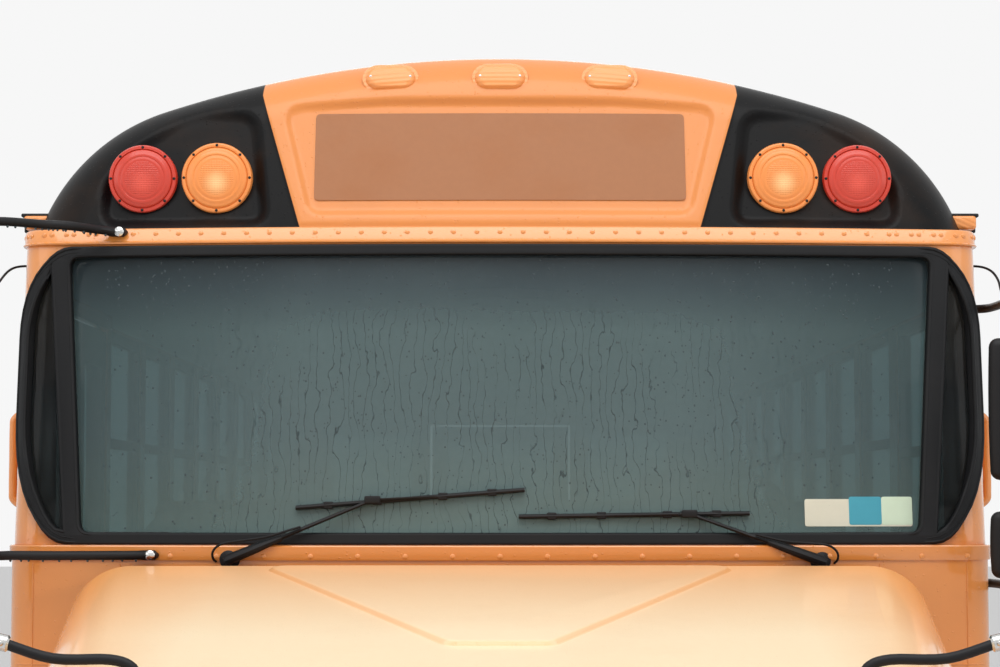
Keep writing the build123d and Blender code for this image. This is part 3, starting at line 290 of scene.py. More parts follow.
yellow = finish("bus yellow", srgb(226, 142, 66), rough=0.34, coat=1.0, grime=0.10, grime_color=YELLOW_GRIME,
                mottle=0.03, bump=0.012, beads=0.16, bead_scale=110.0)
black_paint = finish("black paint", srgb(26, 26, 28), coat=0.1, grime=0.2, grime_color=srgb(58, 56, 54), mottle=0.1,
                     beads=0.2, gloss=0.3)
black_satin = finish("satin black", srgb(22, 22, 24), rough=0.5, grime=0.2, grime_color=srgb(56, 53, 50), mottle=0.15,
                     gloss=0.25)
rubber = finish("seal rubber", srgb(22, 23, 25), rough=0.55, grime_color=srgb(50, 49, 48), mottle=0.2, bump=0.08,
                gloss=0.22)
tyre_rubber = finish("tyre rubber", srgb(44, 43, 43), rough=0.78, grime=0.55, grime_color=srgb(112, 103, 92),
                     scale=7.0, mottle=0.25, bump=0.2)
chassis = finish("chassis paint", srgb(38, 38, 40), rough=0.6, grime=0.6, grime_color=srgb(104, 92, 78), mottle=0.2)
cast = finish("cast iron", srgb(70, 68, 66), rough=0.7, metal=0.3, grime=0.6, grime_color=srgb(112, 84, 62), scale=9.0,
              mottle=0.3, bump=0.3)
steel = finish("bare steel", srgb(158, 156, 152), rough=0.34, metal=0.9, grime=0.4, grime_color=srgb(104, 86, 70),
               scale=6.0)
bright_metal = finish("bright metal", srgb(206, 206, 204), rough=0.2, metal=1.0, grime=0.15, mottle=0.05)
wheel_paint = finish("wheel paint", srgb(44, 44, 46), rough=0.45, coat=0.2, grime=0.5, grime_color=srgb(110, 98, 84),
                     scale=6.0)
reflective = finish("reflective sheet", srgb(158, 102, 62), rough=0.55, grime=0.35, grime_color=srgb(160, 100, 62),
                    scale=5.0, mottle=0.1, bump=0.1)
tape = finish("reflective tape", srgb(226, 186, 66), grime=0.2, mottle=0.05)
stop_red = finish("stop red", srgb(176, 30, 30), coat=0.3, grime=0.15)
white_paint = finish("white paint", srgb(226, 226, 220), coat=0.2, grime=0.2)
dash_plastic = finish("dash plastic", srgb(58, 60, 62), rough=0.65, mottle=0.15, bump=0.25)
floor_cover = finish("ribbed floor", srgb(56, 57, 60), rough=0.75, grime=0.4, mottle=0.2, bump=0.3)
vinyl = finish("seat vinyl", srgb(44, 60, 84), rough=0.5, grime=0.15, mottle=0.12, bump=0.25, sheen=0.1)
liner = finish("ceiling liner", srgb(188, 190, 184), rough=0.6, grime=0.15, mottle=0.05)
paper = finish("paper", srgb(206, 204, 186), rough=0.8, grime=0.2)
label_teal = finish("label teal", srgb(60, 150, 170), rough=0.5, grime=0.1)
label_green = finish("label green", srgb(196, 214, 190), rough=0.5, grime=0.1)
rain_water = finish("rain water", srgb(58, 70, 74), rough=0.2, coat=0.1, grime=0.0, mottle=0.0, bump=0.0)
mirror_face = finish("mirror glass", srgb(196, 204, 208), rough=0.04, metal=1.0, grime=0.1, mottle=0.02, bump=0.0)
red_lens = lens("red lens", srgb(196, 60, 44), srgb(232, 92, 74), 0.12)
amber_lens = lens("amber lens", srgb(226, 138, 70), srgb(255, 218, 158), 0.22)
marker_lens = lens("marker lens", srgb(232, 150, 84), srgb(236, 168, 104), 0.06)
clear_lens = lens("clear lens", srgb(206, 210, 212), srgb(240, 242, 244), 0.05)
windshield_glass = pane("misted windshield", 0.66, (
    (0.0, srgb(110, 131, 128)), (0.10, srgb(104, 123, 121)), (0.35, srgb(96, 115, 118)), (0.72, srgb(92, 111, 113)),
    (0.88, srgb(70, 84, 89)), (1.0, srgb(54, 62, 67))), (0.55, 0.64, 0.65, 1), 0.8, 0.6)
corner_glass = pane("corner glass", 0.30, ((0.0, srgb(52, 54, 54)), (0.5, srgb(48, 50, 52)), (1.0, srgb(70, 66, 60))),
                    (0.30, 0.33, 0.33, 1), 0.0)
side_pane = pane("side glass", 0.24, ((0.0, srgb(92, 106, 110)), (1.0, srgb(84, 98, 102))), (0.45, 0.54, 0.55, 1), 0.0)


def vary_gloss(add, shader, mask, gloss, coat):
    """Gloss and coat that each go from a first to a second value by a mask."""
    for label, (first, second) in (("Specular IOR Level", gloss), ("Coat Weight", coat)):
        add.join(add("MapRange", mask, To_Min=first, To_Max=second), shader[label])


def make_cap_paint():
    """Yellow in the cap's tapering middle and black out to its sides, with a sharp painted edge."""
    material = finish("cap paint", PALE_YELLOW, rough=0.42, coat=0.22, grime=0.12, grime_color=srgb(120, 84, 56),
                      mottle=0.03, bump=0.012, beads=0.2, bead_scale=120.0)
    add, shader, wear = reopen(material)
    split = add("SeparateXYZ", add.place()).outputs
    half = add.math("MULTIPLY_ADD", add.math("MINIMUM", split["Z"], stripe_top), stripe_slope,
                    stripe_foot - stripe_level * stripe_slope)
    beyond = add.math("SUBTRACT", add.math("ABSOLUTE", split["X"]), half)
    mask = add.share(beyond, -0.001, 0.001)
    add.fill(wear, Color=add.blend(mask, srgb(216, 132, 60), srgb(10, 10, 11)))
    vary_gloss(add, shader, mask, (0.5, 0.13), (0.22, 0.02))
    return material


def make_hood_sky_sheen_paint():
    """Hood paint with rain beads whose upward faces are paled as a painted reflection of the sky, less at its back and
    sides.
    """
    material = finish("hood yellow with painted sky sheen", PALE_YELLOW, rough=0.34, coat=1.0, grime=0.10, grime_color=YELLOW_GRIME,
                      mottle=0.03, bump=0.012, beads=0.3, bead_scale=120.0)
    add, shader, wear = reopen(material)
    # Painted reflection: upward faces, most of all towards the front middle, are blended to a pale cream.
    upward = add("SeparateXYZ", add.place("Normal")).outputs["Z"]
    up = add.share(upward, 0.50, 1.0, To_Max=0.92)
    place = add("SeparateXYZ", add.place()).outputs
    ahead = add.share(place["Y"], -3.94, -4.75, To_Min=0.38)
    inward = add.share(add.math("ABSOLUTE", place["X"]), 1.00, 0.66, To_Min=0.40)
    cover = add.math("MULTIPLY", up, add.math("MULTIPLY", ahead, inward))
    add.fill(wear, Color=add.blend(cover, PALE_YELLOW, srgb(248, 230, 196)))
    vary_gloss(add, shader, up, (0.5, 0.2), (1.0, 0.08))
    return material


cap_paint = make_cap_paint()
hood_sky_sheen_paint = make_hood_sky_sheen_paint()


# Mesh helpers
def show(name, data):
    """A new object with its data, put into the scene."""
    piece = bpy.data.objects.new(name, data)
    bpy.context.scene.collection.objects.link(piece)
    return piece


def shape_of(work, rise=0.0):
    """Points and faces of a work mesh, which is freed."""
    work.verts.ensure_lookup_table()
    index = {vert: i for i, vert in enumerate(work.verts)}
    shape = ([v.co + Vector((0, 0, rise)) for v in work.verts], [[index[v] for v in f.verts] for f in work.faces])
    work.free()
    return shape


def turns(count, shift=0.0):
    """Angles evenly round a whole turn."""
    return [2 * pi * (k + shift) / count for k in range(count)]


class Pile:
    """Points and faces gathered from many small shapes, then made into one mesh."""

    def __init__(self):
        self.points = []
        self.faces = []
        self.slots = []

    def add(self, shape, slot=0):
        points, faces = shape
        base = len(self.points)
        self.points.extend(tuple(p) for p in points)
        for face in faces:
            self.faces.append([base + i for i in face])
            self.slots.append(slot)

    def build(self, name, body, materials, slot, replaces=(), smooth=35.0, place=None):
        mesh = bpy.data.meshes.new(name)
        mesh.from_pydata(self.points, [], self.faces)
        for material in materials:
            mesh.materials.append(material)
        mesh.polygons.foreach_set("material_index", self.slots)
        mesh.validate()
        mesh.update()
        tidy = bmesh.new()
        tidy.from_mesh(mesh)
        bmesh.ops.remove_doubles(tidy, verts=tidy.verts, dist=0.00005)
        bmesh.ops.recalc_face_normals(tidy, faces=tidy.faces)
        tidy.to_mesh(mesh)
        tidy.free()
        mesh.polygons.foreach_set("use_smooth", [True] * len(mesh.polygons))
        if smooth:
            mesh.set_sharp_from_angle(angle=radians(smooth))
        piece = show(name, mesh)
        if place is not None:
            piece.matrix_world = place
        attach(piece, body)
        if replaces:
            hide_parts(*replaces)
        return piece


def sheet_of(rows, around=False, along=False):
    """Faces between rows of points, closed around each row or from last row to first if wanted."""
    wide = len(rows[0])
    points = [p for row in rows for p in row]
    faces = []
    for i in range(len(rows) - (0 if along else 1)):
        j = (i + 1) % len(rows)
        for k in range(wide - (0 if around else 1)):
            m = (k + 1) % wide
            faces.append((i * wide + k, i * wide + m, j * wide + m, j * wide + k))
    return points, faces


def capped(rows):
    """Closed rings of points joined in turn, the last one filled."""
    points, faces = sheet_of(rows, around=True)
    return points, faces + [tuple(range(len(points) - len(rows[0]), len(points)))]


def shifted(point, x, y, z):
    return Vector(point) + Vector((x, y, z))


def smooth_path(points, steps=6):
    """A rounded path through the given points."""
    path = [Vector(p) for p in points]
    ends = [2 * path[0] - path[1], *path, 2 * path[-1] - path[-2]]
    out = []
    for a, b, c, d in zip(ends, ends[1:], ends[2:], ends[3:]):
        for i in range(steps):
            t = i / steps
            out.append(0.5 * (2 * b + (c - a) * t + (2 * a - 5 * b + 4 * c - d) * t * t
                              + (3 * b - a - 3 * c + d) * t ** 3))
    return out + [path[-1]]


def tube(points, radius, sides=10, flat=1.0):
    """A round or flattened tube along a path, closed at both ends."""
    path = [Vector(p) for p in points]
    rows = []
    up = None
    for i, place in enumerate(path):
        ahead = path[min(i + 1, len(path) - 1)] - path[max(i - 1, 0)]
        ahead.normalize()
        if up is None:
            up = Vector((0, 0, 1) if abs(ahead.z) < 0.9 else BEHIND)
        side = ahead.cross(up).normalized()
        up = side.cross(ahead).normalized()
        size = radius[i] if isinstance(radius, (list, tuple)) else radius
        rows.append([place + size * (cos(a) * side + flat * sin(a) * up) for a in turns(sides)])
    points, faces = sheet_of(rows, around=True)
    faces.append(tuple(range(sides))[::-1])
    faces.append(tuple(range(len(points) - sides, len(points))))
    return points, faces


def loop_tube(points, radius, sides):
    return tube([*points, points[0]], radius, sides)


def lathe(profile, centre, axis, count=48):
    """An outline of (distance along the axis, radius) turned about an axis."""
    along = Vector(axis).normalized()
    one = along.orthogonal().normalized()
    two = along.cross(one)
    rows = []
    for a in turns(count):
        out = cos(a) * one + sin(a) * two
        rows.append([Vector(centre) + along * run + out * radius for run, radius in profile])
    return sheet_of(rows, along=True)


def dome(centre, normal, radius, height, sides=8, stretch=(1, 1)):
    """A low rounded head, such as a rivet or a drop, standing on a surface."""
    up = Vector(normal).normalized()
    one = Vector((0, 0, 1)) - up * up.z
    one = one.normalized() if one.length > 0.1 else up.orthogonal().normalized()
    two = up.cross(one)
    base = Vector(centre)
    points = []
    for share, lift in ((1.0, -0.2), (0.92, 0.45), (0.55, 0.88)):
        for a in turns(sides):
            points.append(base + up * height * lift
                          + radius * share * (cos(a) * one * stretch[1] + sin(a) * two * stretch[0]))
    points.append(base + up * height)
    faces = [(r * sides + k, r * sides + (k + 1) % sides, (r + 1) * sides + (k + 1) % sides, (r + 1) * sides + k)
             for r in range(2) for k in range(sides)]
    faces += [(2 * sides + k, 2 * sides + (k + 1) % sides, 3 * sides) for k in range(sides)]
    return points, faces


def soft_box(low, high, radius, steps=3, bulge=0.0):
    """A box with rounded edges and corners, its faces puffed out a little if wanted."""
    size = [h - l for l, h in zip(low, high)]
    middle = [(h + l) / 2 for l, h in zip(low, high)]
    work = bmesh.new()
    bmesh.ops.create_cube(work, size=1.0)
    for vert in work.verts:
        vert.co = Vector([middle[i] + vert.co[i] * size[i] for i in range(3)])
    bmesh.ops.bevel(work, geom=list(work.edges), offset=min(radius, 0.49 * min(size)), segments=steps, profile=0.5,
                    affect="EDGES")
    if bulge:
        bmesh.ops.subdivide_edges(work, edges=[e for e in work.edges if e.calc_length() > 0.3 * min(size)], cuts=5,
                                  use_grid_fill=True)
        for vert in work.verts:
            t = [(vert.co[i] - middle[i]) / (size[i] / 2) for i in range(3)]
            for i in range(3):
                j, k = (i + 1) % 3, (i + 2) % 3
                if abs(t[i]) > 0.8:
                    vert.co[i] += bulge * (1 if t[i] > 0 else -1) * max(0, 1 - t[j] ** 2) * max(0, 1 - t[k] ** 2)
    return shape_of(work)


def side_box(side, low, high, radius, *more):
    """A soft box given for the left side, or its mirror image on the right."""
    near, far = sorted((side * low[0], side * high[0]))
    return soft_box((near, *low[1:]), (far, *high[1:]), radius, *more)


def rounded_outline(points, radius, steps=5):
    """Corner points of a flat outline with each corner rounded."""
    out = []
    count = len(points)
    for i, here in enumerate(points):
        here = Vector(here)
        before = Vector(points[i - 1]) - here
        after = Vector(points[(i + 1) % count]) - here
        size = radius[i] if isinstance(radius, (list, tuple)) else radius
        reach = min(size / max(0.05, tan(before.angle(after) / 2)), 0.49 * before.length, 0.49 * after.length)
        a = here + before.normalized() * reach
        b = here + after.normalized() * reach
        for k in range(steps + 1):
            t = k / steps
            out.append((1 - t) ** 2 * a + 2 * t * (1 - t) * here + t * t * b)
    return [(p.x, p.y) for p in out]


def card(low, high, low_z, high_z, radius):
    return rounded_outline([(low, low_z), (low, high_z), (high, high_z), (high, low_z)], radius, 3)


def plate(outline, holes, thick, edge, cuts_s=(), cuts_z=()):
    """A flat plate in (run, level, out) with rounded front edges and holes, cut up so that it can be bent."""
    curve = bpy.data.curves.new("plate outline", "CURVE")
    curve.dimensions = "2D"
    curve.fill_mode = "BOTH"
    curve.extrude = thick / 2 - edge
    curve.bevel_depth = edge
    curve.bevel_resolution = 2
    curve.offset = -edge
    for ring in (outline, *holes):
        line = curve.splines.new("POLY")
        line.points.add(len(ring) - 1)
        for point, place in zip(line.points, ring):
            point.co = (place[0], place[1], 0, 1)
        line.use_cyclic_u = True
    holder = show("plate outline", curve)
    mesh = bpy.data.meshes.new_from_object(holder)
    bpy.data.objects.remove(holder)
    bpy.data.curves.remove(curve)
    work = bmesh.new()
    work.from_mesh(mesh)
    bpy.data.meshes.remove(mesh)
    bmesh.ops.remove_doubles(work, verts=work.verts, dist=0.00002)
    for axis, places in enumerate((cuts_s, cuts_z)):
        normal = Vector((1 - axis, axis, 0))
        for place in places:
            bmesh.ops.bisect_plane(work, geom=[*work.verts, *work.edges, *work.faces], dist=0.00001,
                                   plane_co=normal * place, plane_no=normal)
    return shape_of(work, thick / 2)


# The body's bowed front
def face_y(level):
    """Y of the body's front on its centreline at a level."""
    if level < cowl_top:
        return cowl_y
    if level < strip_low:
        return cowl_y + sill_depth + (level - cowl_top) * tan(windshield_lean)
    strip_y = cowl_y + sill_depth + (strip_low - cowl_top) * tan(windshield_lean)
    return strip_y + (level - strip_low) * tan(cap_lean)


def hood_level(y):
    return hood_top - (hood_back - y) * tan(hood_slope)


corner_x = body_half - corner_radius
meet_angle = asin(corner_x / (bow_radius - corner_radius))
meet_run = bow_radius * meet_angle
side_run = meet_run + corner_radius * (pi / 2 - meet_angle)
corner_back = bow_radius - (bow_radius - corner_radius) * cos(meet_angle)


def wrap(run, level, out=0.0, nose=None):
    """A point on the body's front at a run to the left of its middle and a level, stood off by out."""
    side = -1 if run < 0 else 1
    s = abs(run)
    nose = face_y(level) if nose is None else nose
    if s <= meet_run:
        a = s / bow_radius
        x, y = bow_radius * sin(a), bow_radius * (1 - cos(a))
    elif s <= side_run:
        a = meet_angle + (s - meet_run) / corner_radius
        x, y = corner_x + corner_radius * sin(a), corner_back - corner_radius * cos(a)
    else:
        a = pi / 2
        x, y = body_half, corner_back + s - side_run
    return Vector((side * (x + out * sin(a)), nose + y - out * cos(a), level))


def wrap_normal(run):
    s = abs(run)
    a = s / bow_radius if s <= meet_run else min(pi / 2, meet_angle + (s - meet_run) / corner_radius)
    return Vector(((1 if run >= 0 else -1) * sin(a), -cos(a), 0))


def run_at(y, level):
    """Run at which the side's front edge lies at a y."""
    return side_run + y - face_y(level) - corner_back


bend_cuts = [side * (meet_run + i * 0.0235) for i in range(9) for side in (-1, 1)]
bend_cuts += [i * 0.11 for i in range(-9, 10)]


def runs_across(end):
    """Runs at which a strip along the front is cut so that it bends, out to an end on both sides."""
    every = {*(i * 0.05 for i in range(-24, 25) if abs(i * 0.05) < meet_run), *bend_cuts, -end, end}
    return [run for run in sorted(every) if abs(run) <= end]


# Front cap
def outline_point(t, inset):
    """Point on the roof's outline in the front view; t runs from the left foot to the right one."""
    foot = asin((strip_low - eave) / (shoulder_radius - inset))
    lean = atan2(eave - crown_base, body_half - shoulder_radius)
    arc = (lean - foot) * shoulder_radius
    top = (pi / 2 - lean) * crown_radius
    whole = arc + top
    u = abs(t) * whole
    side = 1 if t > 0 else -1
    if u < top:
        a = pi / 2 - u / crown_radius
        return Vector((side * (crown_radius - inset) * cos(a), crown_base + (crown_radius - inset) * sin(a)))
    a = lean - (u - top) / shoulder_radius
    a = max(a, foot)
    return Vector((side * (body_half - shoulder_radius + (shoulder_radius - inset) * cos(a)),
                   eave + (shoulder_radius - inset) * sin(a)))


def signed_gap(x, z, ring):
    """Distance from a flat outline, below zero inside it."""
    best = 9.0
    inside = False
    count = len(ring)
    for i in range(count):
        ax, az = ring[i]
        bx, bz = ring[(i + 1) % count]
        dx, dz = bx - ax, bz - az
        t = max(0, min(1, ((x - ax) * dx + (z - az) * dz) / (dx * dx + dz * dz)))
        best = min(best, (x - ax - t * dx) ** 2 + (z - az - t * dz) ** 2)
        if (az > z) != (bz > z) and x < (bx - ax) * (z - az) / (bz - az) + ax:
            inside = not inside
    return -sqrt(best) if inside else sqrt(best)


sign_ring = rounded_outline([(-0.500, 2.692), (-0.578, 3.000), (-0.3, 3.014), (0.3, 3.014), (0.578, 3.000),
                             (0.500, 2.692)], [0.05, 0.05, 0.4, 0.4, 0.05, 0.05])
lamp_ring = rounded_outline([(0.598, 2.668), (0.638, 2.985), (0.813, 2.985), (0.985, 2.880), (1.042, 2.778),
                             (1.042, 2.668)], [0.05, 0.07, 0.2, 0.2, 0.1, 0.09])


def ramp(value, low, high):
    t = max(0.0, min(1.0, (value - low) / (high - low)))
    return t * t * (3 - 2 * t)


def stripe_half(z):
    """Half width of the yellow middle of the cap at a level."""
    return stripe_foot + (min(z, stripe_top) - stripe_level) * stripe_slope


def cap_relief(x, z):
    """How far the cap's skin is set back by its recesses, less where its middle stands proud."""
    back = 0.0
    if abs(x) < 0.64 and z > 2.67:
        back += sign_depth * (1 - ramp(signed_gap(x, z, sign_ring), -0.022, 0.004))
    if abs(x) > 0.55:
        back += lamp_depth * (1 - ramp(signed_gap(abs(x), z, lamp_ring), -0.026, 0.010))
    back -= stripe_rise * (1 - ramp(abs(x) - stripe_half(z), -0.006, 0.006)) * ramp(z, 2.664, 2.676)
    return back


def cap_point(x, z, drop, back):
    """A point on the cap's leaning, bowed face, dropped back by its rounded edge and its recesses."""
    return Vector((x, face_y(z) + bow_radius - sqrt(bow_radius ** 2 - x * x) + drop + back, z))


def cap_surface(x, z):
    """A point on the cap's skin and how far it leans back there, in degrees."""
    gap = crown_radius - sqrt(x * x + (z - crown_base) ** 2)
    if gap >= cap_round:
        return cap_point(x, z, 0, 0), degrees(cap_lean)
    a = acos(1 - gap / cap_round)
    return cap_point(x, z, cap_round * (1 - sin(a)), 0), degrees(cap_lean + pi / 2 - a)


def build_cap():
    across = 560
    steps = 22
    down = 76
    t_values = [-1 + 2 * i / across for i in range(across + 1)]
    rows = []
    for back in (cap_back, -3.36):
        rows.append([Vector((p.x, back, p.y)) for p in (outline_point(t, 0) for t in t_values)])
    for k in range(steps + 1):
        a = pi / 2 * k / steps
        row = []
        for t in t_values:
            p = outline_point(t, cap_round * (1 - cos(a)))
            row.append(cap_point(p.x, p.y, cap_round * (1 - sin(a)), cap_relief(p.x, p.y) * ramp(k, 9, steps)))
        rows.append(row)
    last = rows[-1]
    for i in range(1, down + 1):
        levels = [p.z + (strip_low - p.z) * i / down for p in last]
        rows.append([cap_point(p.x, z, 0.0, cap_relief(p.x, z)) for p, z in zip(last, levels)])
    pile = Pile()
    pile.add(sheet_of(rows))
    for side in (1, -1):
        levels = [eave + (strip_low + 0.004 - eave) * i / 6 for i in range(7)]
        edge = [(body_half - shoulder_radius + sqrt(shoulder_radius ** 2 - (z - eave) ** 2), z) for z in levels]
        pile.add(sheet_of([[(side * x, y, z) for x, z in edge] for y in (module_back, cap_back)]))
    return pile.build("front_cap_skin", "bus_body", [cap_paint], "body_yellow", ["front_cap"], smooth=50)


build_cap()

# Riveted drip strip under the cap
strip = Pile()
end_run = run_at(module_back + 0.02, strip_low + 0.02)
profile = [(2.640, -0.004), (2.6225, -0.002), (2.6215, 0.009), (2.625, 0.011), (2.629, 0.0065), (2.658, 0.0065),
           (2.6625, 0.003), (2.663, -0.004)]
strip.add(sheet_of([[wrap(run, z, out) for z, out in profile] for run in runs_across(end_run)]))
for i in range(-23, 24):
    run = i * 0.0595
    if abs(run) < end_run - 0.03:
        for shift in (0, 0.02) if abs(run) > 1.0 else (0,):
            strip.add(dome(wrap(run + shift, 2.647, 0.006), wrap_normal(run), 0.0072, 0.0034))
strip.build("drip_strip", "bus_body", [yellow], "body_yellow")

# Blank reflective sign panel
sign = Pile()
points, faces = plate(card(-0.483, 0.483, 2.735, 2.972, 0.012), [], 0.0016, 0.0004, [i * 0.08 for i in range(-6, 7)],
                      [2.75 + i * 0.04 for i in range(6)])
sign.add(([cap_point(p[0], p[1], 0.0, 0.0088 - p[2]) for p in points], faces))
sign.build("blank_sign", "bus_body", [reflective], "body_yellow")


# Lamps
def warning_lamp(name, x, z, radius, glass, slot, node, rear=False):
    """A round warning lamp in its recess: a flange with eight screws and a ribbed lens."""
    pile = Pile()
    axis = AHEAD
    rim = [(-0.03, radius), (0.012, radius), (0.016, radius - 0.002), (0.0175, radius - 0.005),
           (0.0175, radius - 0.010), (0.014, radius - 0.0115)]
    ribbed = [(0.013, radius - 0.0115), (0.0175, radius - 0.0135), (0.0205, radius * 0.80), (0.0225, radius * 0.66),
              (0.0215, radius * 0.645), (0.0245, radius * 0.5), (0.0270, radius * 0.28), (0.0280, 0.0005)]
    for profile in (rim, ribbed):
        pile.add(lathe(profile, (0, 0, 0), axis, 64))
    # The eight screw heads are black satin as painted shade, standing in for the shadow in the holes they sit in.
    for a in turns(8):
        pile.add(dome(((radius - 0.0065) * cos(a), -0.0165, (radius - 0.0065) * sin(a)), axis, 0.0042, 0.0026), 1)
    place = Matrix.Translation(cap_point(x, z, 0.006, 0))
    if rear:
        place = Matrix.Translation((x, body_back, z)) @ Matrix.Rotation(pi, 4, "Z")
    return pile.build(name, "bus_body", [glass, black_satin], slot, [node], place=place)


for side, word in SIDES:
    warning_lamp(f"red_lamp_{word}", side * 0.934, 2.797, 0.089, red_lens, "red_lens", "red_lamps")
    warning_lamp(f"amber_lamp_{word}", side * 0.738, 2.797, 0.092, amber_lens, "amber_lens", "amber_lamps")


def oval(half, radius, out, steps=12):
    """Points of an upright oval that is half wide and stands at out."""
    ring = [(half - radius + radius * cos(a), out, radius * sin(a))
            for a in (-pi / 2 + pi * k / steps for k in range(steps + 1))]
    return ring + [(-x, y, -z) for x, y, z in ring]


markers = Pile()
for x in (-0.289, 0.0, 0.289):
    spot, lean = cap_surface(x, 3.068)
    turn = Matrix.Translation(spot) @ Matrix.Rotation(radians(-lean * 0.45), 4, "X")
    points, faces = capped([oval(half, radius, out) for half, radius, out in (
        (0.075, 0.0430, 0.034), (0.075, 0.0430, -0.004), (0.0735, 0.0415, -0.006), (0.0660, 0.0340, -0.007),
        (0.0640, 0.0320, -0.013), (0.0600, 0.0280, -0.018), (0.0520, 0.0190, -0.0205), (0.0400, 0.0060, -0.021))])
    markers.add(([turn @ Vector(p) for p in points], faces))
    for end in (-1, 1):
        head = turn @ Vector((end * 0.052, -0.0185, 0))
        markers.add(dome(head, turn.to_3x3() @ Vector(AHEAD), 0.0045, 0.003), 1)
for side, word in SIDES:
    markers.add(side_box(side, (1.195, -3.556, 2.676), (1.264, -3.496, 2.712), 0.008))
    markers.add(side_box(side, (1.190, -3.548, 2.709), (1.272, -3.490, 2.719), 0.004), 2)
    markers.add(side_box(side, (1.190, -3.502, 2.672), (1.272, -3.490, 2.719), 0.004), 2)
markers.build("marker_lenses", "bus_body", [marker_lens, bright_metal, black_satin], "amber_lens", ["marker_lamps"])

# Windshield
seal_back = -3.488
seal_side = body_half - 0.011
seal_low = 1.848
seal_high = 2.616
post_lean = 0.085


def run_of(x):
    """Run at which the body's front reaches a distance from the middle."""
    if x <= corner_x:
        return bow_radius * asin(x / bow_radius)
    return meet_run + corner_radius * (asin(min(1.0, (x - corner_x) / corner_radius)) - meet_angle)


def corner_turn(x_start, level, drop):
    """A corner that looks elliptical from in front, from a level run to an upright edge."""
    angles = [radians(90 * i / 10) for i in range(11)]
    return [(run_of(x_start + (seal_side - x_start) * sin(t)), level + drop * (1 - cos(t))) for t in angles]


def band(low, high, back, inset=None):
    """Outline of a strip round the front from side to side, with rounded corners if an inset is given."""
    right = [(run_at(back, high), high), (run_at(back, low), low)]
    if inset is not None:
        top = corner_turn(1.112 - inset, high, inset * 1.5 - 0.24)
        foot = corner_turn(1.100 - inset, low, 0.32 - inset * 1.5)
        right = [*top, *foot[::-1]]
    return [(-run, z) for run, z in right[::-1]] + right


def grown(ring, out):
    """A closed outline moved outward by a distance."""
    area = sum(a[0] * b[1] - b[0] * a[1] for a, b in zip(ring, ring[1:] + ring[:1]))
    turn = 1 if area > 0 else -1
    moved = []
    for i, (x, z) in enumerate(ring):
        before, after = Vector(ring[i - 1]), Vector(ring[(i + 1) % len(ring)])
        along = (after - before).normalized()
        moved.append((x + turn * along.y * out, z - turn * along.x * out))
    return moved


def corner_hole(side):
    """The corner pane's outline: the seal's edge drawn in, closed by the slanted post."""
    edge = grown(band(seal_low, seal_high, seal_back, 0.0), -0.030)
    outer = [(run, z) for run, z in edge if run > run_of(1.105) + (z - glass_low) * post_lean + 0.006]
    ring = [(run_of(1.1625), 2.566), *outer, (run_of(1.105), 1.8785)]
    return ring if side == 1 else [(-run, z) for run, z in ring[::-1]]


main_hole = rounded_outline([(-run_of(1.062), 1.877), (-run_of(1.116), 2.588), (run_of(1.116), 2.588),
                             (run_of(1.062), 1.877)], 0.028, 5)
holes = [main_hole, corner_hole(1), corner_hole(-1)]
level_cuts = [1.90 + i * 0.085 for i in range(9)]


def bent_plate(ring, cuts, thick, edge, depth):
    """A plate bent round the body's front, its back face at a depth behind the front."""
    points, faces = plate(ring, cuts, thick, edge, bend_cuts, level_cuts)
    return [wrap(p[0], p[1], p[2] - depth) for p in points], faces


surround = Pile()
surround.add(bent_plate(band(cowl_top, strip_low, module_back), [grown(ring, 0.007) for ring in holes], 0.045, 0.002,
                        0.045))
surround.build("windshield_surround", "bus_body", [yellow], "body_yellow", ["windshield_frame"], smooth=45)
seal = Pile()
seal.add(bent_plate(band(seal_low, seal_high, seal_back, 0.0), holes, 0.0285, 0.0045, 0.016))
for ring in holes:
    seal.add(loop_tube([wrap(p[0], p[1], 0.0075) for p in grown(ring, 0.004)], 0.0062, 8))
for inset, radius in ((0.006, 0.0035), (0.016, 0.0016)):
    line = band(seal_low + inset, seal_high - inset, seal_back - inset, inset)
    seal.add(loop_tube([wrap(p[0], p[1], 0.0118) for p in line], radius, 8))
seal.build("windshield_rubber", "bus_body", [rubber], "seal_rubber", ["windshield_seal"], smooth=45)
panes = Pile()
for ring, slot in zip(holes, (0, 1, 1)):
    panes.add(bent_plate(ring, [], 0.006, 0.001, 0.016), slot)
panes.build("windshield_panes", "bus_body", [windshield_glass, corner_glass], "window_glass", ["windshield"], smooth=45)

drops = Pile()
for _ in range(1500):
    run = random.uniform(-1.02, 1.02)
    z = 1.885 + 0.69 * random.random() ** 0.9
    size = random.uniform(0.0010, 0.0024)
    drops.add(dome(wrap(run, z, -0.0099), wrap_normal(run), size, size * 0.35, 6, (1, random.uniform(1.0, 1.5))))
drops.build("windshield_drops", "bus_body", [rain_water], "window_glass")

notices = Pile()
for low, high, low_z, high_z, out, slot in ((0.772, 1.050, 1.893, 1.962, -0.0100, 0),
                                            (0.886, 0.970, 1.897, 1.968, -0.0094, 1),
                                            (0.970, 1.050, 1.897, 1.968, -0.0094, 2)):
    points, faces = plate(card(low, high, low_z, high_z, 0.006), [], 0.0008, 0.0002,
                          [low + i * 0.05 for i in range(1, 6)])
    notices.add(([wrap(p[0], p[1], out + p[2]) for p in points], faces), slot)
notices.build("windshield_notices", "bus_body", [paper, label_teal, label_green], "window_glass")


# Wipers
def ahead_of_glass(x, z, off):
    return wrap(run_of(x), z, off - 0.015)


def block(spot, before, after, radius):
    """A soft box from one offset to another about a spot."""
    return soft_box(spot - Vector(before), spot + Vector(after), radius)


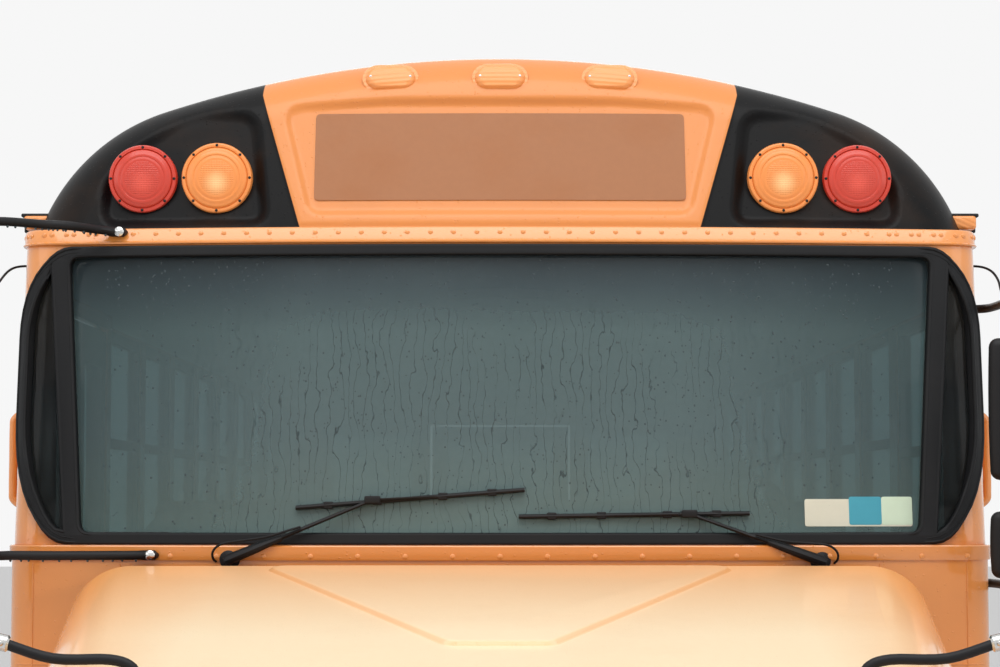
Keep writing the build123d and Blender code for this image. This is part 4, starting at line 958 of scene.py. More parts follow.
blade_cuts = 14
wiper_set = (((-0.675, 1.812), (-0.320, 1.960), ((-0.514, 1.940), (0.062, 1.985))),
             ((0.802, 1.808), (0.475, 1.925), ((0.047, 1.918), (0.628, 1.926))))
wipers = Pile()
for (pivot_x, pivot_z), elbow, (start, end) in wiper_set:
    base = wrap(run_of(pivot_x), pivot_z, 0)
    wipers.add(lathe([(-0.004, 0.026), (0.004, 0.026), (0.007, 0.020), (0.010, 0.014), (0.034, 0.013), (0.038, 0.009),
                      (0.039, 0.0005)], base, AHEAD, 24), 1)
    head = shifted(base, 0, -0.028, 0)
    grip = ahead_of_glass(*elbow, 0.024)
    along = (grip - head).normalized()
    socket = head + along * 0.14
    wipers.add(tube([head - along * 0.012, head, shifted(head.lerp(socket, 0.5), 0, -0.006, 0), socket],
                    [0.011, 0.018, 0.016, 0.011], 10, 0.8), 1)
    wipers.add(tube([socket - along * 0.01, socket, shifted(grip, 0, 0.004, 0), grip], [0.010, 0.009, 0.0075, 0.0075],
                    8, 0.6), 1)
    wipers.add(block(grip, (0.020, 0.008, 0.010), (0.020, 0.006, 0.010), 0.004), 1)
    line = [(start[0] + (end[0] - start[0]) * i / blade_cuts, start[1] + (end[1] - start[1]) * i / blade_cuts)
            for i in range(blade_cuts + 1)]
    spine = [ahead_of_glass(x, z, 0.0155) for x, z in line]
    wipers.add(tube(spine, 0.0072, 8, 0.8), 1)
    wipers.add(tube([ahead_of_glass(x, z, 0.0075) for x, z in line], 0.0085, 6, 0.4))
    for share in (0.12, 0.36, 0.64, 0.88):
        wipers.add(block(spine[round(share * blade_cuts)], (0.012, 0.006, 0.009), (0.012, 0.009, 0.009), 0.003), 1)
    first, last = spine[round(0.36 * blade_cuts)], spine[round(0.64 * blade_cuts)]
    wipers.add(tube([first, shifted((first + grip) / 2, 0, -0.006, 0), grip, shifted((last + grip) / 2, 0, -0.006, 0),
                     last], 0.0055, 8, 0.6), 1)
wipers.build("wiper_arms", "bus_body", [rubber, black_satin], "black_trim", ["wipers"])


def free_line(name, diameter, points):
    """A free rubber line along one smooth curve that follows its points."""
    curve = bpy.data.curves.new(name, "CURVE")
    curve.dimensions = "3D"
    curve.bevel_depth = diameter / 2
    curve.bevel_resolution = 3
    curve.use_fill_caps = True
    line = curve.splines.new("NURBS")
    line.points.add(len(points) - 1)
    for point, place in zip(line.points, points):
        point.co = (*place, 1)
    line.order_u = 3
    line.use_endpoint_u = True
    line.resolution_u = 8
    curve.materials.append(rubber)
    piece = show(name, curve)
    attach(piece, "bus_body")


free_line("washer_line_1", 0.006, [
    (-0.71, -3.8547, 1.806), (-0.716, -3.876, 1.812), (-0.716, -3.884, 1.834), (-0.694, -3.892, 1.852),
    (-0.65, -3.893, 1.858), (-0.586, -3.8865, 1.866), (-0.54, -3.878, 1.88), (-0.498, -3.87, 1.893)])
free_line("washer_line_2", 0.006, [
    (0.837, -3.8442, 1.802), (0.843, -3.865, 1.808), (0.843, -3.874, 1.83), (0.821, -3.882, 1.848),
    (0.78, -3.883, 1.852), (0.72, -3.878, 1.855), (0.678, -3.871, 1.864), (0.639, -3.864, 1.874)])

# Cowl, mirrors and handles
cowl_trim = Pile()
cowl_end = run_at(module_back + 0.02, 1.8)
lip = [(1.838, -0.002), (1.8445, 0.000), (1.8460, 0.004), (1.8430, 0.0065), (1.838, 0.006), (1.812, 0.006),
       (1.8085, 0.0045), (1.808, -0.002)]
cowl_trim.add(sheet_of([[wrap(run, z, out, cowl_y) for z, out in lip] for run in runs_across(cowl_end)]))
for i in range(-11, 12):
    run = i * 0.118
    if abs(run) < cowl_end - 0.02:
        cowl_trim.add(dome(wrap(run, 1.819, 0.0055, cowl_y), wrap_normal(run), 0.0075, 0.0032))
for side, word in SIDES:
    for run in (0.955, 1.18):
        cowl_trim.add(tube([wrap(side * run, z, 0.0006, cowl_y) for z in (1.80, 1.65, 1.50, 1.36)], 0.0016, 6))
    for z in (1.548, 1.30, 1.05, 0.82):
        cowl_trim.add(tube([wrap(side * (0.99 + 0.03 * k), z, 0.0008, cowl_y) for k in range(9)], 0.0018, 6))
cowl_trim.build("cowl_trim", "bus_body", [yellow], "body_yellow")

mirror_y = cowl_y - 0.07
mirror_x = body_half + 0.065
handle_y = (seal_back + module_back) / 2
upper_foot = wrap(-run_of(0.984), 2.652, 0.012)
lower_foot = wrap(-run_of(0.872), 1.822, 0.012, cowl_y)
entry_arms = (
    [upper_foot, shifted(upper_foot, -0.05, -0.035, 0.003), (-1.10, -3.795, 2.657), (-1.16, -3.82, 2.658),
     (-1.26, -3.90, 2.656), (-1.302, -3.944, 2.640), (-mirror_x, mirror_y, 2.56), (-mirror_x, mirror_y, 2.46)],
    [lower_foot, shifted(lower_foot, -0.06, -0.03, 0), (-1.10, -3.905, 1.822), (-1.24, -3.925, 1.822),
     (-1.302, -3.944, 1.810), (-mirror_x, mirror_y, 1.77), (-mirror_x, mirror_y, 1.70)])
driver_arms = [[(1.2453, handle_y, z), (1.290, handle_y - 0.01, z), (1.308, handle_y - 0.08, z), (mirror_x, -3.80, z),
                (mirror_x, mirror_y + 0.03, bend), (mirror_x, mirror_y, end)]
               for z, bend, end in ((2.470, 2.468, 2.44), (1.740, 1.742, 1.77))]
arms = Pile()
for path in (*entry_arms, *driver_arms):
    arms.add(tube(smooth_path(path, 5), 0.0115, 12))
for path in entry_arms:
    foot = path[0]
    arms.add(tube([shifted(foot, 0.014, 0.004, 0), shifted(foot, 0.010, -0.002, 0), shifted(foot, -0.02, -0.008, 0),
                   path[1]], [0.008, 0.0155, 0.0155, 0.0115], 12, 0.8))
    arms.add(lathe([(0, 0.0125), (0.007, 0.0125), (0.009, 0.010), (0.011, 0.0005)], shifted(foot, 0, -0.012, 0),
                   AHEAD, 12), 1)
    for spot in smooth_path(path, 5)[4:24]:
        arms.add(dome(shifted(spot, random.uniform(-0.008, 0.008), 0, -0.0108), (0, 0, -1), 0.0034, 0.0055, 8), 2)
for path in driver_arms:
    foot = Vector(path[0])
    arms.add(block(foot, (0.0006, 0.016, 0.028), (0.009, 0.016, 0.028), 0.003))
    for rise in (-0.02, 0.02):
        arms.add(dome(shifted(foot, 0.009, 0, rise), (1, 0, 0), 0.006, 0.004), 1)
for side, inner in ((1, 1.205), (-1, 1.240)):
    arms.add(tube([(side * mirror_x, mirror_y, 1.70), (side * mirror_x, mirror_y, 2.50)], 0.0135, 14))
    for low, high, deep in ((2.010, 2.356, 0.045), (1.770, 1.930, 0.040)):
        near, far = sorted((side * inner, side * mirror_reach))
        arms.add(soft_box((near, mirror_y - deep, low), (far, mirror_y - 0.004, high), 0.026, 5, 0.004))
        arms.add(soft_box((near + 0.012, mirror_y - 0.006, low + 0.012), (far - 0.012, mirror_y, high - 0.012),
                          0.003, 2), 3)
        for z in (low + 0.3 * (high - low), high - 0.3 * (high - low)):
            arms.add(soft_box((side * mirror_x - 0.02, mirror_y - 0.012, z - 0.012),
                              (side * mirror_x + 0.02, mirror_y + 0.018, z + 0.012), 0.004))
arms.build("mirror_arms", "bus_body", [black_satin, bright_metal, rain_water, mirror_face], "mirror_black", ["mirrors"])

handles = Pile()
for side, word in SIDES:
    grip_x = side * (body_half + 0.054)
    bend_x = grip_x - side * 0.004
    near_x = side * (body_half + 0.020)
    root_x = side * (body_half + 0.002)
    path = [(x, handle_y, z) for x, z in ((root_x, 2.196), (near_x, 2.196), (bend_x, 2.176), (grip_x, 2.150),
                                          (grip_x, 2.066), (grip_x, 1.986), (bend_x, 1.960), (near_x, 1.940),
                                          (root_x, 1.940))]
    handles.add(tube(smooth_path(path, 5), 0.0115, 12))
    for z in (1.940, 2.196):
        handles.add(lathe([(0, 0.021), (0.004, 0.021), (0.006, 0.018), (0.007, 0.0005)], (root_x, handle_y, z),
                          (side, 0, 0), 20))
handles.build("entry_handles", "bus_body", [yellow], "body_yellow", ["grab_handles"])

# Wires from the body to the mirrors' heaters
free_line("mirror_wire_left", 0.0065, [
    (1.249, -3.469, 2.585), (1.279, -3.473, 2.587), (1.311, -3.499, 2.574), (1.325, -3.529, 2.545),
    (1.32, -3.579, 2.51), (1.317, -3.619, 2.494), (1.312, -3.669, 2.489), (1.31, -3.729, 2.49)])
free_line("mirror_wire_right", 0.0065, [
    (-1.249, -3.469, 2.585), (-1.279, -3.473, 2.587), (-1.309, -3.5, 2.576), (-1.322, -3.56, 2.54),
    (-1.32, -3.65, 2.5), (-1.316, -3.75, 2.484), (-1.312, -3.84, 2.492), (-1.311, -3.905, 2.522),
    (-1.31, -3.94, 2.562)])

crossview = Pile()
cross_y = hood_front + 0.27
bulge = [(0.012, 0.1145), (0.016, 0.110), *((0.016 + 0.030 * (1 - (r / 0.108) ** 2), r) for r in
                                            (0.108, 0.095, 0.08, 0.062, 0.044, 0.025, 0.0005))]
for side, word in SIDES:
    foot = Vector((side * 0.700, cross_y, hood_level(cross_y) + 0.002))
    path = [foot, shifted(foot, side * 0.006, 0, 0.030), shifted(foot, side * 0.050, 0, 0.046),
            (side * 0.86, cross_y, 1.656), (side * 0.962, cross_y, 1.687), (side * 1.04, cross_y, 1.706)]
    crossview.add(tube(smooth_path(path, 5), 0.0105, 12))
    crossview.add(lathe([(0, 0.034), (0.004, 0.034), (0.007, 0.030), (0.009, 0.0125)], shifted(foot, 0, 0, -0.001),
                        (0, 0, 1), 24))
    along = Vector((side * 0.98, 0, 0.22))
    spot = Vector((side * 0.965, cross_y, 1.688))
    crossview.add(tube([spot + along * run for run in (-0.022, -0.018, 0.018, 0.022)],
                       [0.012, 0.0165, 0.0165, 0.012], 14), 1)
    for shift in (-0.008, 0.010):
        crossview.add(dome(shifted(spot + along * shift, 0, -0.016, 0), AHEAD, 0.0065, 0.006), 1)
    centre = Vector((side * 1.110, cross_y, 1.720))
    crossview.add(lathe([(-0.014, 0.0005), (-0.014, 0.108), (-0.008, 0.1135), (0.004, 0.115), (0.012, 0.1145)], centre,
                        BEHIND, 40))
    crossview.add(lathe(bulge, centre, BEHIND, 40), 2)
    crossview.add(dome(shifted(centre, 0, -0.014, 0), AHEAD, 0.03, 0.010, 16))
crossview.build("crossview_heads", "hood", [black_satin, bright_metal, mirror_face], "mirror_black",
                ["crossview_mirrors"])


# Inside the cabin
def prism(profile, low_x, high_x):
    """A profile of (y, z) points carried across the bus between two x, with closed ends."""
    points, faces = sheet_of([[(x, y, z) for y, z in profile] for x in (low_x, high_x)], around=True)
    wide = len(profile)
    return points, faces + [tuple(range(wide))[::-1], tuple(range(wide, 2 * wide))]


def pad_piece(name, shapes, node):
    pad = Pile()
    for shape in shapes:
        pad.add(shape)
    piece = pad.build(name, "bus_body", [vinyl], "seat_vinyl", [node], smooth=60)


bench_frames = Pile()
for side, word in SIDES:
    leg_x = side * 0.32
    for row in range(10):
        start = first_window + 0.045 + row * window_pitch
        back = start + 0.402
        shapes = [side_box(side, (0.205, start, 1.384), (1.175, start + 0.425, 1.497), 0.035, 3, 0.006),
                  side_box(side, (0.205, back, 1.400), (1.175, back + 0.076, 1.956), 0.034, 3, 0.004)]
        pad_piece(f"bench_pad_{word}_{row + 1}", shapes, "seats")
        low_x, high_x = sorted((leg_x, side * 1.19))
        for y in (start + 0.09, start + 0.36):
            bench_frames.add(tube([(low_x, y, bench_rail), (high_x, y, bench_rail)], 0.012, 8))
            bench_frames.add(tube([(leg_x, y, bench_rail), (leg_x, y, 1.045)], 0.014, 10))
        bench_frames.add(tube([(leg_x, start + 0.06, 1.06), (leg_x, start + 0.42, 1.06)], 0.010, 8))
        for y in (start + 0.06, start + 0.39):
            bench_frames.add(soft_box((leg_x - 0.03, y - 0.03, floor_top), (leg_x + 0.03, y + 0.03, 1.046), 0.002, 1))
bench_frames.build("bench_frames", "bus_body", [chassis], "frame_steel")

pad_piece("driver_seat_pads", [
    soft_box((0.335, -2.985, 1.405), (0.805, -2.505, 1.508), 0.04, 3, 0.006),
    soft_box((0.345, -2.515, 1.420), (0.795, -2.425, 1.860), 0.04, 3, 0.004),
    soft_box((0.430, -2.510, 1.880), (0.710, -2.430, 2.045), 0.035, 3, 0.004)], "driver_seat")
pedestal = Pile()
pedestal.add(soft_box((0.44, -2.94, floor_top), (0.70, -2.61, 1.30), 0.02))
pedestal.add(soft_box((0.40, -2.97, 1.30), (0.74, -2.55, 1.40), 0.025))
for x in (0.52, 0.62):
    pedestal.add(tube([(x, -2.47, 1.80), (x, -2.47, 1.92)], 0.008, 8))
pedestal.build("driver_seat_pedestal", "bus_body", [dash_plastic], "dash_plastic")

dash = Pile()
section = rounded_outline([(-3.765, 1.045), (-3.765, 1.795), (-3.480, 1.765), (-3.435, 1.640), (-3.560, 1.500),
                           (-3.640, 1.045)], [0.01, 0.02, 0.05, 0.06, 0.05, 0.01], 5)
dash.add(prism(section, -0.648, 1.048))
dash.add(soft_box((-0.62, -3.74, 1.790), (1.02, -3.66, 1.806), 0.006), 1)
for i in range(13):
    x = -0.56 + i * 0.125
    dash.add(soft_box((x, -3.725, 1.803), (x + 0.085, -3.675, 1.809), 0.003, 1))
dash.add(soft_box((0.34, -3.60, 1.745), (0.80, -3.44, 1.880), 0.05, 4))
for x, radius in ((0.47, 0.048), (0.585, 0.055), (0.70, 0.048)):
    dash.add(lathe([(0, radius), (0.004, radius), (0.006, radius - 0.004), (0.003, radius - 0.006), (0.003, 0.0005)],
                   (x, -3.441, 1.815), BEHIND, 28), 2)
for i in range(8):
    x, z = 0.022 * (i % 4), 0.04 * (i // 4)
    dash.add(soft_box((0.86 + x, -3.475, 1.665 + z), (0.876 + x, -3.438, 1.690 + z), 0.003, 1), 2)
dash.add(soft_box((-0.93, -3.76, floor_top), (-0.66, -3.60, 1.82), 0.03))
dash.add(lathe([(-0.07, 0.0005), (-0.07, 0.105), (-0.05, 0.135), (0.05, 0.135), (0.07, 0.105), (0.07, 0.0005)],
               (-0.795, -3.68, 1.81), BEHIND, 36))
lean = radians(40)
wheel_axis = Vector((0, sin(lean), cos(lean)))
wheel_up = Vector((0, cos(lean), -sin(lean)))
hub = Vector((0.570, -3.330, 1.890))


def around_hub(a):
    """Unit vector in the steering wheel's plane at an angle."""
    return cos(a) * Vector((1, 0, 0)) + sin(a) * wheel_up


dash.add(tube([hub + wheel_axis * 0.012 + 0.214 * around_hub(2 * pi * k / 48) for k in range(49)], 0.0138, 10), 3)
for a in (radians(0), radians(180), radians(90)):
    out = around_hub(a)
    dash.add(tube([hub, hub + out * 0.10, hub + wheel_axis * 0.010 + out * 0.208], [0.016, 0.012, 0.009], 8, 0.7), 3)
dash.add(lathe([(-0.012, 0.0005), (-0.012, 0.046), (0.014, 0.044), (0.021, 0.034), (0.0225, 0.0005)], hub, wheel_axis,
               28), 3)
dash.add(tube([hub - wheel_axis * 0.262, hub - wheel_axis * 0.01], [0.034, 0.028], 16))
dash.build("dash_and_wheel", "bus_body", [dash_plastic, liner, clear_lens, black_satin], "dash_plastic", ["dashboard"])


def roof_ring(out, foot=2.530):
    """Points of the roof's outline from the left foot over the top to the right one, stood off by out."""
    lean = atan2(eave - crown_base, body_half - shoulder_radius)
    right = [(body_half + out, foot)]
    for i in range(11):
        a = lean * i / 10
        right.append((body_half - shoulder_radius + (shoulder_radius + out) * cos(a),
                      eave + (shoulder_radius + out) * sin(a)))
    for i in range(1, 16):
        a = lean + (pi / 2 - lean) * i / 15
        right.append(((crown_radius + out) * cos(a), crown_base + (crown_radius + out) * sin(a)))
    return right + [(-x, z) for x, z in right[-2::-1]]


lining_out = -0.0475
hatch_half = 0.335
lining = Pile()
for low, high in ((-3.27, -1.44), (-1.44, -0.76), (-0.76, 2.86), (2.86, 3.54), (3.54, 5.45)):
    hatch = high - low < 0.7
    for sign in (1, -1):
        half = [(x, z) for x, z in roof_ring(lining_out)[::sign] if sign * x >= (hatch_half if hatch else -0.001)]
        if hatch:
            half.append((sign * hatch_half, crown_base + sqrt((crown_radius + lining_out) ** 2 - hatch_half ** 2)))
        lining.add(sheet_of([[(x, y, z) for x, z in half] for y in (low, (low + high) / 2, high)]))
for side, start in ((1, -3.42), (-1, -2.50)):
    for low, high in ((1.05, 1.70), (2.49, 2.53)):
        x = side * (body_half - 0.045 - 0.002)
        lining.add(sheet_of([[(x, y, z) for z in (low, high)] for y in (start, 1.0, 5.44)]))
lining.build("cabin_lining", "bus_body", [liner], "dash_plastic", smooth=40)

# Raised middle of the hood's top, narrowing to the front
raised = Pile()
rows = []
for inset, rise in ((0.0, -0.001), (0.003, 0.0), (0.0055, 0.0022), (0.0095, 0.0072), (0.0125, 0.0090), (0.018, 0.0095)):
    corners = [(x - inset * (1 if x > 0 else -1) * 1.4, y + (inset if y < -4.5 else -inset))
               for x, y in ((-0.590, -3.945), (-0.120, -4.860), (0.120, -4.860), (0.590, -3.945))]
    rows.append([(x, y, hood_level(y) + rise) for x, y in rounded_outline(corners, 0.035, 4)])
raised.add(capped(rows))
raised.build("hood_raised_panel", "hood", [hood_sky_sheen_paint], "body_yellow", smooth=60)


# Wheels and tyres
def tyre(centre, width=0.265):
    """A highway tyre: ribbed tread with sipes in its shoulders, bulged sidewalls and a bead ring."""
    half = width / 2
    profile = [(-half + 0.022, 0.2875), (-half + 0.008, 0.305), (-half + 0.002, 0.345), (-half, 0.395),
               (-half + 0.004, 0.445), (-half + 0.007, 0.452), (-half + 0.007, 0.470), (-half + 0.012, 0.492),
               (-half + 0.022, 0.510)]
    crown = [(-half + 0.030, 0.5155)]
    for groove in (-0.072, -0.026, 0.026, 0.072):
        crown += [(groove - 0.0065, 0.5195), (groove - 0.004, 0.506), (groove + 0.004, 0.506),
                  (groove + 0.0065, 0.5195)]
    crown += [(half - 0.030, 0.5155)]
    full = profile + crown + [(-t, r) for t, r in profile[::-1]]
    rows = []
    for k, a in enumerate(turns(168)):
        row = []
        for t, r in full:
            if r > 0.509 and abs(t) > 0.078:
                r -= 0.008 if k % 4 == 0 else 0.0
            elif r > 0.5190:
                r -= 0.003 if (k + int(t * 40)) % 4 == 2 else 0.0
            row.append(shifted(centre, t, r * cos(a), r * sin(a)))
        rows.append(row)
    return sheet_of(rows, along=True)


def studs(centre, out, ring, height, size=0.0165, count=10):
    """Wheel nuts round a circle, each a six-sided nut with a stud end."""
    nut = [(0, size * 1.25), (height * 0.25, size * 1.25), (height * 0.25, size), (height, size * 0.92),
           (height, size * 0.5), (height * 1.45, size * 0.45), (height * 1.45, 0.0004)]
    return [lathe(nut, shifted(centre, 0, ring * cos(a), ring * sin(a)), (out, 0, 0), 6) for a in turns(count, 0.5)]


def wheel_disc(centre, side, depth, count=10):
    """The wheel's disc with rounded hand holes, standing at depth from its middle plane."""
    ring = [(0.275 * cos(a), 0.275 * sin(a)) for a in turns(72)]
    cuts = [[(0.222 * cos(a) + 0.027 * cos(t), 0.222 * sin(a) + 0.027 * sin(t)) for t in turns(18)]
            for a in turns(count)]
    points, faces = plate(ring, cuts, 0.012, 0.003)
    sinks = [0.030 * ramp(sqrt(p[0] ** 2 + p[1] ** 2), 0.165, 0.262) for p in points]
    return [shifted(centre, side * (depth + p[2] - sink), p[0], p[1]) for p, sink in zip(points, sinks)], faces


def wheel(word, side, names, centre, shifts, materials, parts):
    """A wheel or a pair: tyres and rims at the shifts, then turned profiles, a disc and nuts in given slots."""
    body, tread, rim, tyre_node = (f"{name}_{word}" for name in names)
    treads, metal = Pile(), Pile()
    for shift in shifts:
        middle = (centre[0] + shift, centre[1], centre[2])
        treads.add(tyre(middle))
        metal.add(lathe(rim_profile, middle, (side, 0, 0), 72))
    treads.build(tread, body, [tyre_rubber], "tyre_rubber", [tyre_node], smooth=28)
    for kind, slot, detail, count in parts:
        if kind == "turned":
            metal.add(lathe(detail, centre, (side, 0, 0), count), slot)
        elif kind == "disc":
            metal.add(wheel_disc(centre, side, detail))
        else:
            depth, ring, height = detail
            for shape in studs((centre[0] + side * depth, centre[1], centre[2]), side, ring, height):
                metal.add(shape, slot)
    metal.build(rim, body, materials, "wheel_paint", [body])


rim_profile = [(-0.113, 0.274), (-0.113, 0.292), (-0.106, 0.295), (-0.104, 0.284), (-0.07, 0.272), (0.06, 0.270),
               (0.104, 0.283), (0.106, 0.2955), (0.113, 0.293), (0.1145, 0.287), (0.110, 0.276), (0.060, 0.262),
               (-0.100, 0.262), (-0.113, 0.274)]
front_parts = (
    ("disc", 0, 0.098, 0),
    ("turned", 1, [(0.106, 0.092), (0.120, 0.086), (0.1235, 0.070), (0.1245, 0.040), (0.125, 0.0005)], 40),
    ("nuts", 1, (0.108, 0.128, 0.011), 0),
    ("turned", 2, [(-0.045, 0.049), (-0.045, 0.16), (-0.02, 0.165), (0.05, 0.16), (0.096, 0.12), (0.098, 0.10)], 40))
rear_parts = (
    ("turned", 0, [(0.282, 0.262), (0.17, 0.258), (0.09, 0.252), (0.035, 0.235), (0.020, 0.20)], 60),
    ("disc", 0, 0.010, 0),
    ("turned", 1, [(-0.06, 0.176), (-0.02, 0.178), (0.0, 0.16), (0.022, 0.112), (0.085, 0.100), (0.110, 0.094),
                   (0.1215, 0.080), (0.125, 0.050), (0.125, 0.0005)], 40),
    ("nuts", 1, (0.022, 0.143, 0.022), 0),
    ("turned", 2, [(-0.283, 0.14), (-0.283, 0.180), (-0.10, 0.180), (-0.06, 0.176)], 40))
for side, word in SIDES:
    wheel(word, side, ("front_wheel", "front_tread", "front_rim", "front_tyre"),
          (side * 1.035, front_axle_y, tyre_radius), (0,), [wheel_paint, steel, cast], front_parts)
    wheel(word, side, ("rear_wheels", "rear_treads", "rear_rims", "rear_tyres"),
          (side * 0.915, rear_axle_y, tyre_radius), (-twin_half, twin_half), [wheel_paint, cast, cast], rear_parts)


# Sides, roof and rear
def strip_box(pile, low, high, slot=0, radius=0.002):
    pile.add(soft_box(low, high, radius, 1), slot)


def side_rivet(pile, side, x, y, z):
    pile.add(dome((x, y, z), (side, 0, 0), 0.006, 0.0026, 6))


seams = Pile()
seam_edge = ((-0.021, -0.001), (-0.020, 0.0018), (0.020, 0.0018), (0.021, -0.001))
for i in range(12):
    y = first_window + (i - 0.5) * window_pitch
    beside_hatch = any(low < y < high for low, high in ((-1.50, -0.70), (2.80, 3.60)))
    rows = [[(x, y + shift, z) for x, z in roof_ring(out)] for shift, out in seam_edge]
    if beside_hatch:
        for sign in (1, -1):
            seams.add(sheet_of([[p for p in row if sign * p[0] > 0.40] for row in rows]))
    else:
        seams.add(sheet_of(rows))
    for shift in (-0.011, 0.011):
        for here, above in zip(roof_ring(0.0015), roof_ring(0.01)):
            if not beside_hatch or abs(here[0]) > 0.42:
                normal = (above[0] - here[0], 0, above[1] - here[1])
                seams.add(dome((here[0], y + shift, here[1]), normal, 0.0065, 0.0028, 6))
for side, start in ((1, -2.60), (-1, -2.55)):
    edge = [(0.0, 2.523), (0.010, 2.517), (0.0125, 2.506), (0.0085, 2.5035), (0.006, 2.510), (0.0, 2.512)]
    seams.add(sheet_of([[(side * (body_half + out), y, z) for out, z in edge] for y in (-3.445, 5.45)]))
    x = side * (body_half + 0.0002)
    for i in range(113):
        y = start + i * 0.0711
        if y < 5.43:
            side_rivet(seams, side, x, y, 1.7785)
            side_rivet(seams, side, x, y, 0.585)
    for i in range(0, 12, 2):
        y = first_window + (i - 0.5) * window_pitch
        for low, high in ((0.60, 1.148), (1.212, 1.448), (1.512, 1.708)):
            if abs(y - rear_axle_y) > 0.64 or low > 1.15:
                strip_box(seams, (x - 0.001, y - 0.020, low), (x + 0.0016, y + 0.020, high), 0, 0.0008)
                for k in range(int((high - low) / 0.075)):
                    side_rivet(seams, side, x + side * 0.0014, y, low + 0.035 + k * 0.075)
seams.build("body_seams", "bus_body", [yellow], "body_yellow")

rails = Pile()
half_ridge = [(0.0, -0.030), (0.0105, -0.028), (0.0135, -0.024), (0.0135, -0.016), (0.0070, -0.012),
              (0.0070, -0.006), (0.0135, -0.003)]
ridge = half_ridge + [(out, -dz) for out, dz in half_ridge[::-1]]
wide = len(ridge)
for side, start in ((1, -3.44), (-1, -2.505)):
    for level in (1.18, 1.48, 1.74):
        points, faces = sheet_of([[(side * (body_half + out), y, level + dz) for out, dz in ridge]
                                  for y in (start, rear_wall_y)])
        rails.add((points, faces + [tuple(range(wide)), tuple(range(wide, 2 * wide))]))
for side, word in SIDES:
    arch = [(side * (body_half + 0.001), rear_axle_y + arch_radius * cos(a), tyre_radius + arch_radius * sin(a))
            for a in (radians(5 + 170 * k / 40) for k in range(41))]
    rails.add(tube(arch, 0.011, 8))
rails.build("rub_rail_ridges", "bus_body", [black_paint], "black_trim", ["rub_rails"], smooth=30)


def gasket(pile, corners, radius):
    """A rubber edging round an opening, through its four corners."""
    ring = []
    for i, here in enumerate(corners):
        here = Vector(here)
        for other in (Vector(corners[i - 1]), Vector(corners[(i + 1) % 4])):
            ring.append(here + (other - here).normalized() * 0.02)
    pile.add(loop_tube(ring, radius, 6))


def rear_gasket(pile, low_x, high_x, low, high):
    gasket(pile, [(x, rear_rubber, z) for x, z in ((low_x, low), (low_x, high), (high_x, high), (high_x, low))], 0.008)


rear_trim = Pile()
for side, word in SIDES:
    rear_gasket(rear_trim, side * 0.56, side * 1.08, 1.80, 2.38)
    rear_trim.add(side_box(side, (0.385, 5.4990, 2.603), (0.795, 5.5012, 2.808), 0.001, 1), 1)
strip_box(rear_trim, (0.5375, rear_skin, 1.5835), (0.8425, 5.5025, 1.7365), 2, 0.001)
for x in (0.601, 0.779):
    for z in (1.5995, 1.7205):
        rear_trim.add(dome((x, 5.5023, z), BEHIND, 0.007, 0.004), 3)
for x in (-0.475, 0.475):
    strip_box(rear_trim, (x - 0.0125, rear_skin, 1.02), (x + 0.0125, 5.5010, 2.465), 4, 0.0005)
strip_box(rear_trim, (-0.4875, rear_skin, 2.465), (0.4875, 5.5010, 2.490), 4, 0.0005)
rear_trim.build("rear_trim", "bus_body", [rubber, black_paint, white_paint, bright_metal, tape], "seal_rubber")

door_trim = Pile()
for low, high in ((1.18, 1.68), (1.80, 2.34)):
    rear_gasket(door_trim, -0.345, 0.350, low, high)
for z in (1.14, 1.74, 2.38):
    strip_box(door_trim, (-0.425, rear_skin, z - 0.018), (-0.30, 5.5040, z + 0.018), 1)
    for x in (-0.39, -0.33):
        door_trim.add(dome((x, 5.5038, z), BEHIND, 0.006, 0.003), 1)
door_trim.add(lathe([(0, 0.030), (0.006, 0.030), (0.009, 0.024), (0.010, 0.0005)], (0.395, body_back, 1.74), BEHIND,
                    24), 1)
door_trim.add(tube([(x, y, 1.74) for x, y in ((0.395, 5.505), (0.395, 5.530), (0.375, 5.537), (0.22, 5.537),
                                              (0.205, 5.532))], 0.009, 10), 1)
door_trim.build("emergency_door_trim", "emergency_door", [rubber, bright_metal], "seal_rubber")

for word, near, far, edge_y in (("front", -3.36, -3.065, -3.0045), ("rear", -2.935, -2.64, -2.9955)):
    leaf = Pile()
    for low, high in ((0.505, 1.285), (1.385, 2.36)):
        gasket(leaf, [(door_skin, y, z) for y, z in ((near, low), (near, high), (far, high), (far, low))], 0.006)
    strip_box(leaf, (door_skin, edge_y - 0.0025, 0.40), (-1.2052, edge_y + 0.0025, 2.465))
    leaf.build(f"entry_door_edging_{word}", f"entry_door_{word}", [rubber], "seal_rubber")

for side, word in SIDES:
    for label, x, z, glass, slot in (("stop", 0.90, 1.45, red_lens, "red_lens"),
                                     ("turn", 0.90, 1.24, amber_lens, "amber_lens"),
                                     ("flash_red", 0.70, 2.70, red_lens, "red_lens"),
                                     ("flash_amber", 0.48, 2.72, amber_lens, "amber_lens")):
        warning_lamp(f"rear_{label}_{word}", side * x, z, 0.085, glass, slot, "rear_lamps", True)

# Stop arm: red with a white border, blank
arm = Pile()
corners = [radians(22.5 + 45 * k) for k in range(8)]
eight, border = ([(stop_y + size * cos(a), stop_level + size * sin(a)) for a in corners] for size in (0.2430, 0.2250))
points, faces = plate(eight, [], 0.0150, 0.002)
arm.add(([(1.2685 + p[2], p[0], p[1]) for p in points], faces))
for face_x, turn in ((1.2832, 1), (1.2688, -1)):
    points, faces = plate(eight, [border], 0.0008, 0.0001)
    arm.add(([(face_x + turn * p[2], p[0], p[1]) for p in points], faces), 1)
    for z in (1.20, 1.46):
        arm.add(dome((face_x, stop_y, z), (turn, 0, 0), 0.045, 0.010 if turn > 0 else 0.006, 24), 2)
arm.add(tube([(1.276, -3.262, 1.286), (1.276, -3.262, 1.374)], 0.010, 14), 3)
arm.add(soft_box((1.2685, -3.262, 1.301), (1.2835, -3.19, 1.359), 0.003), 3)
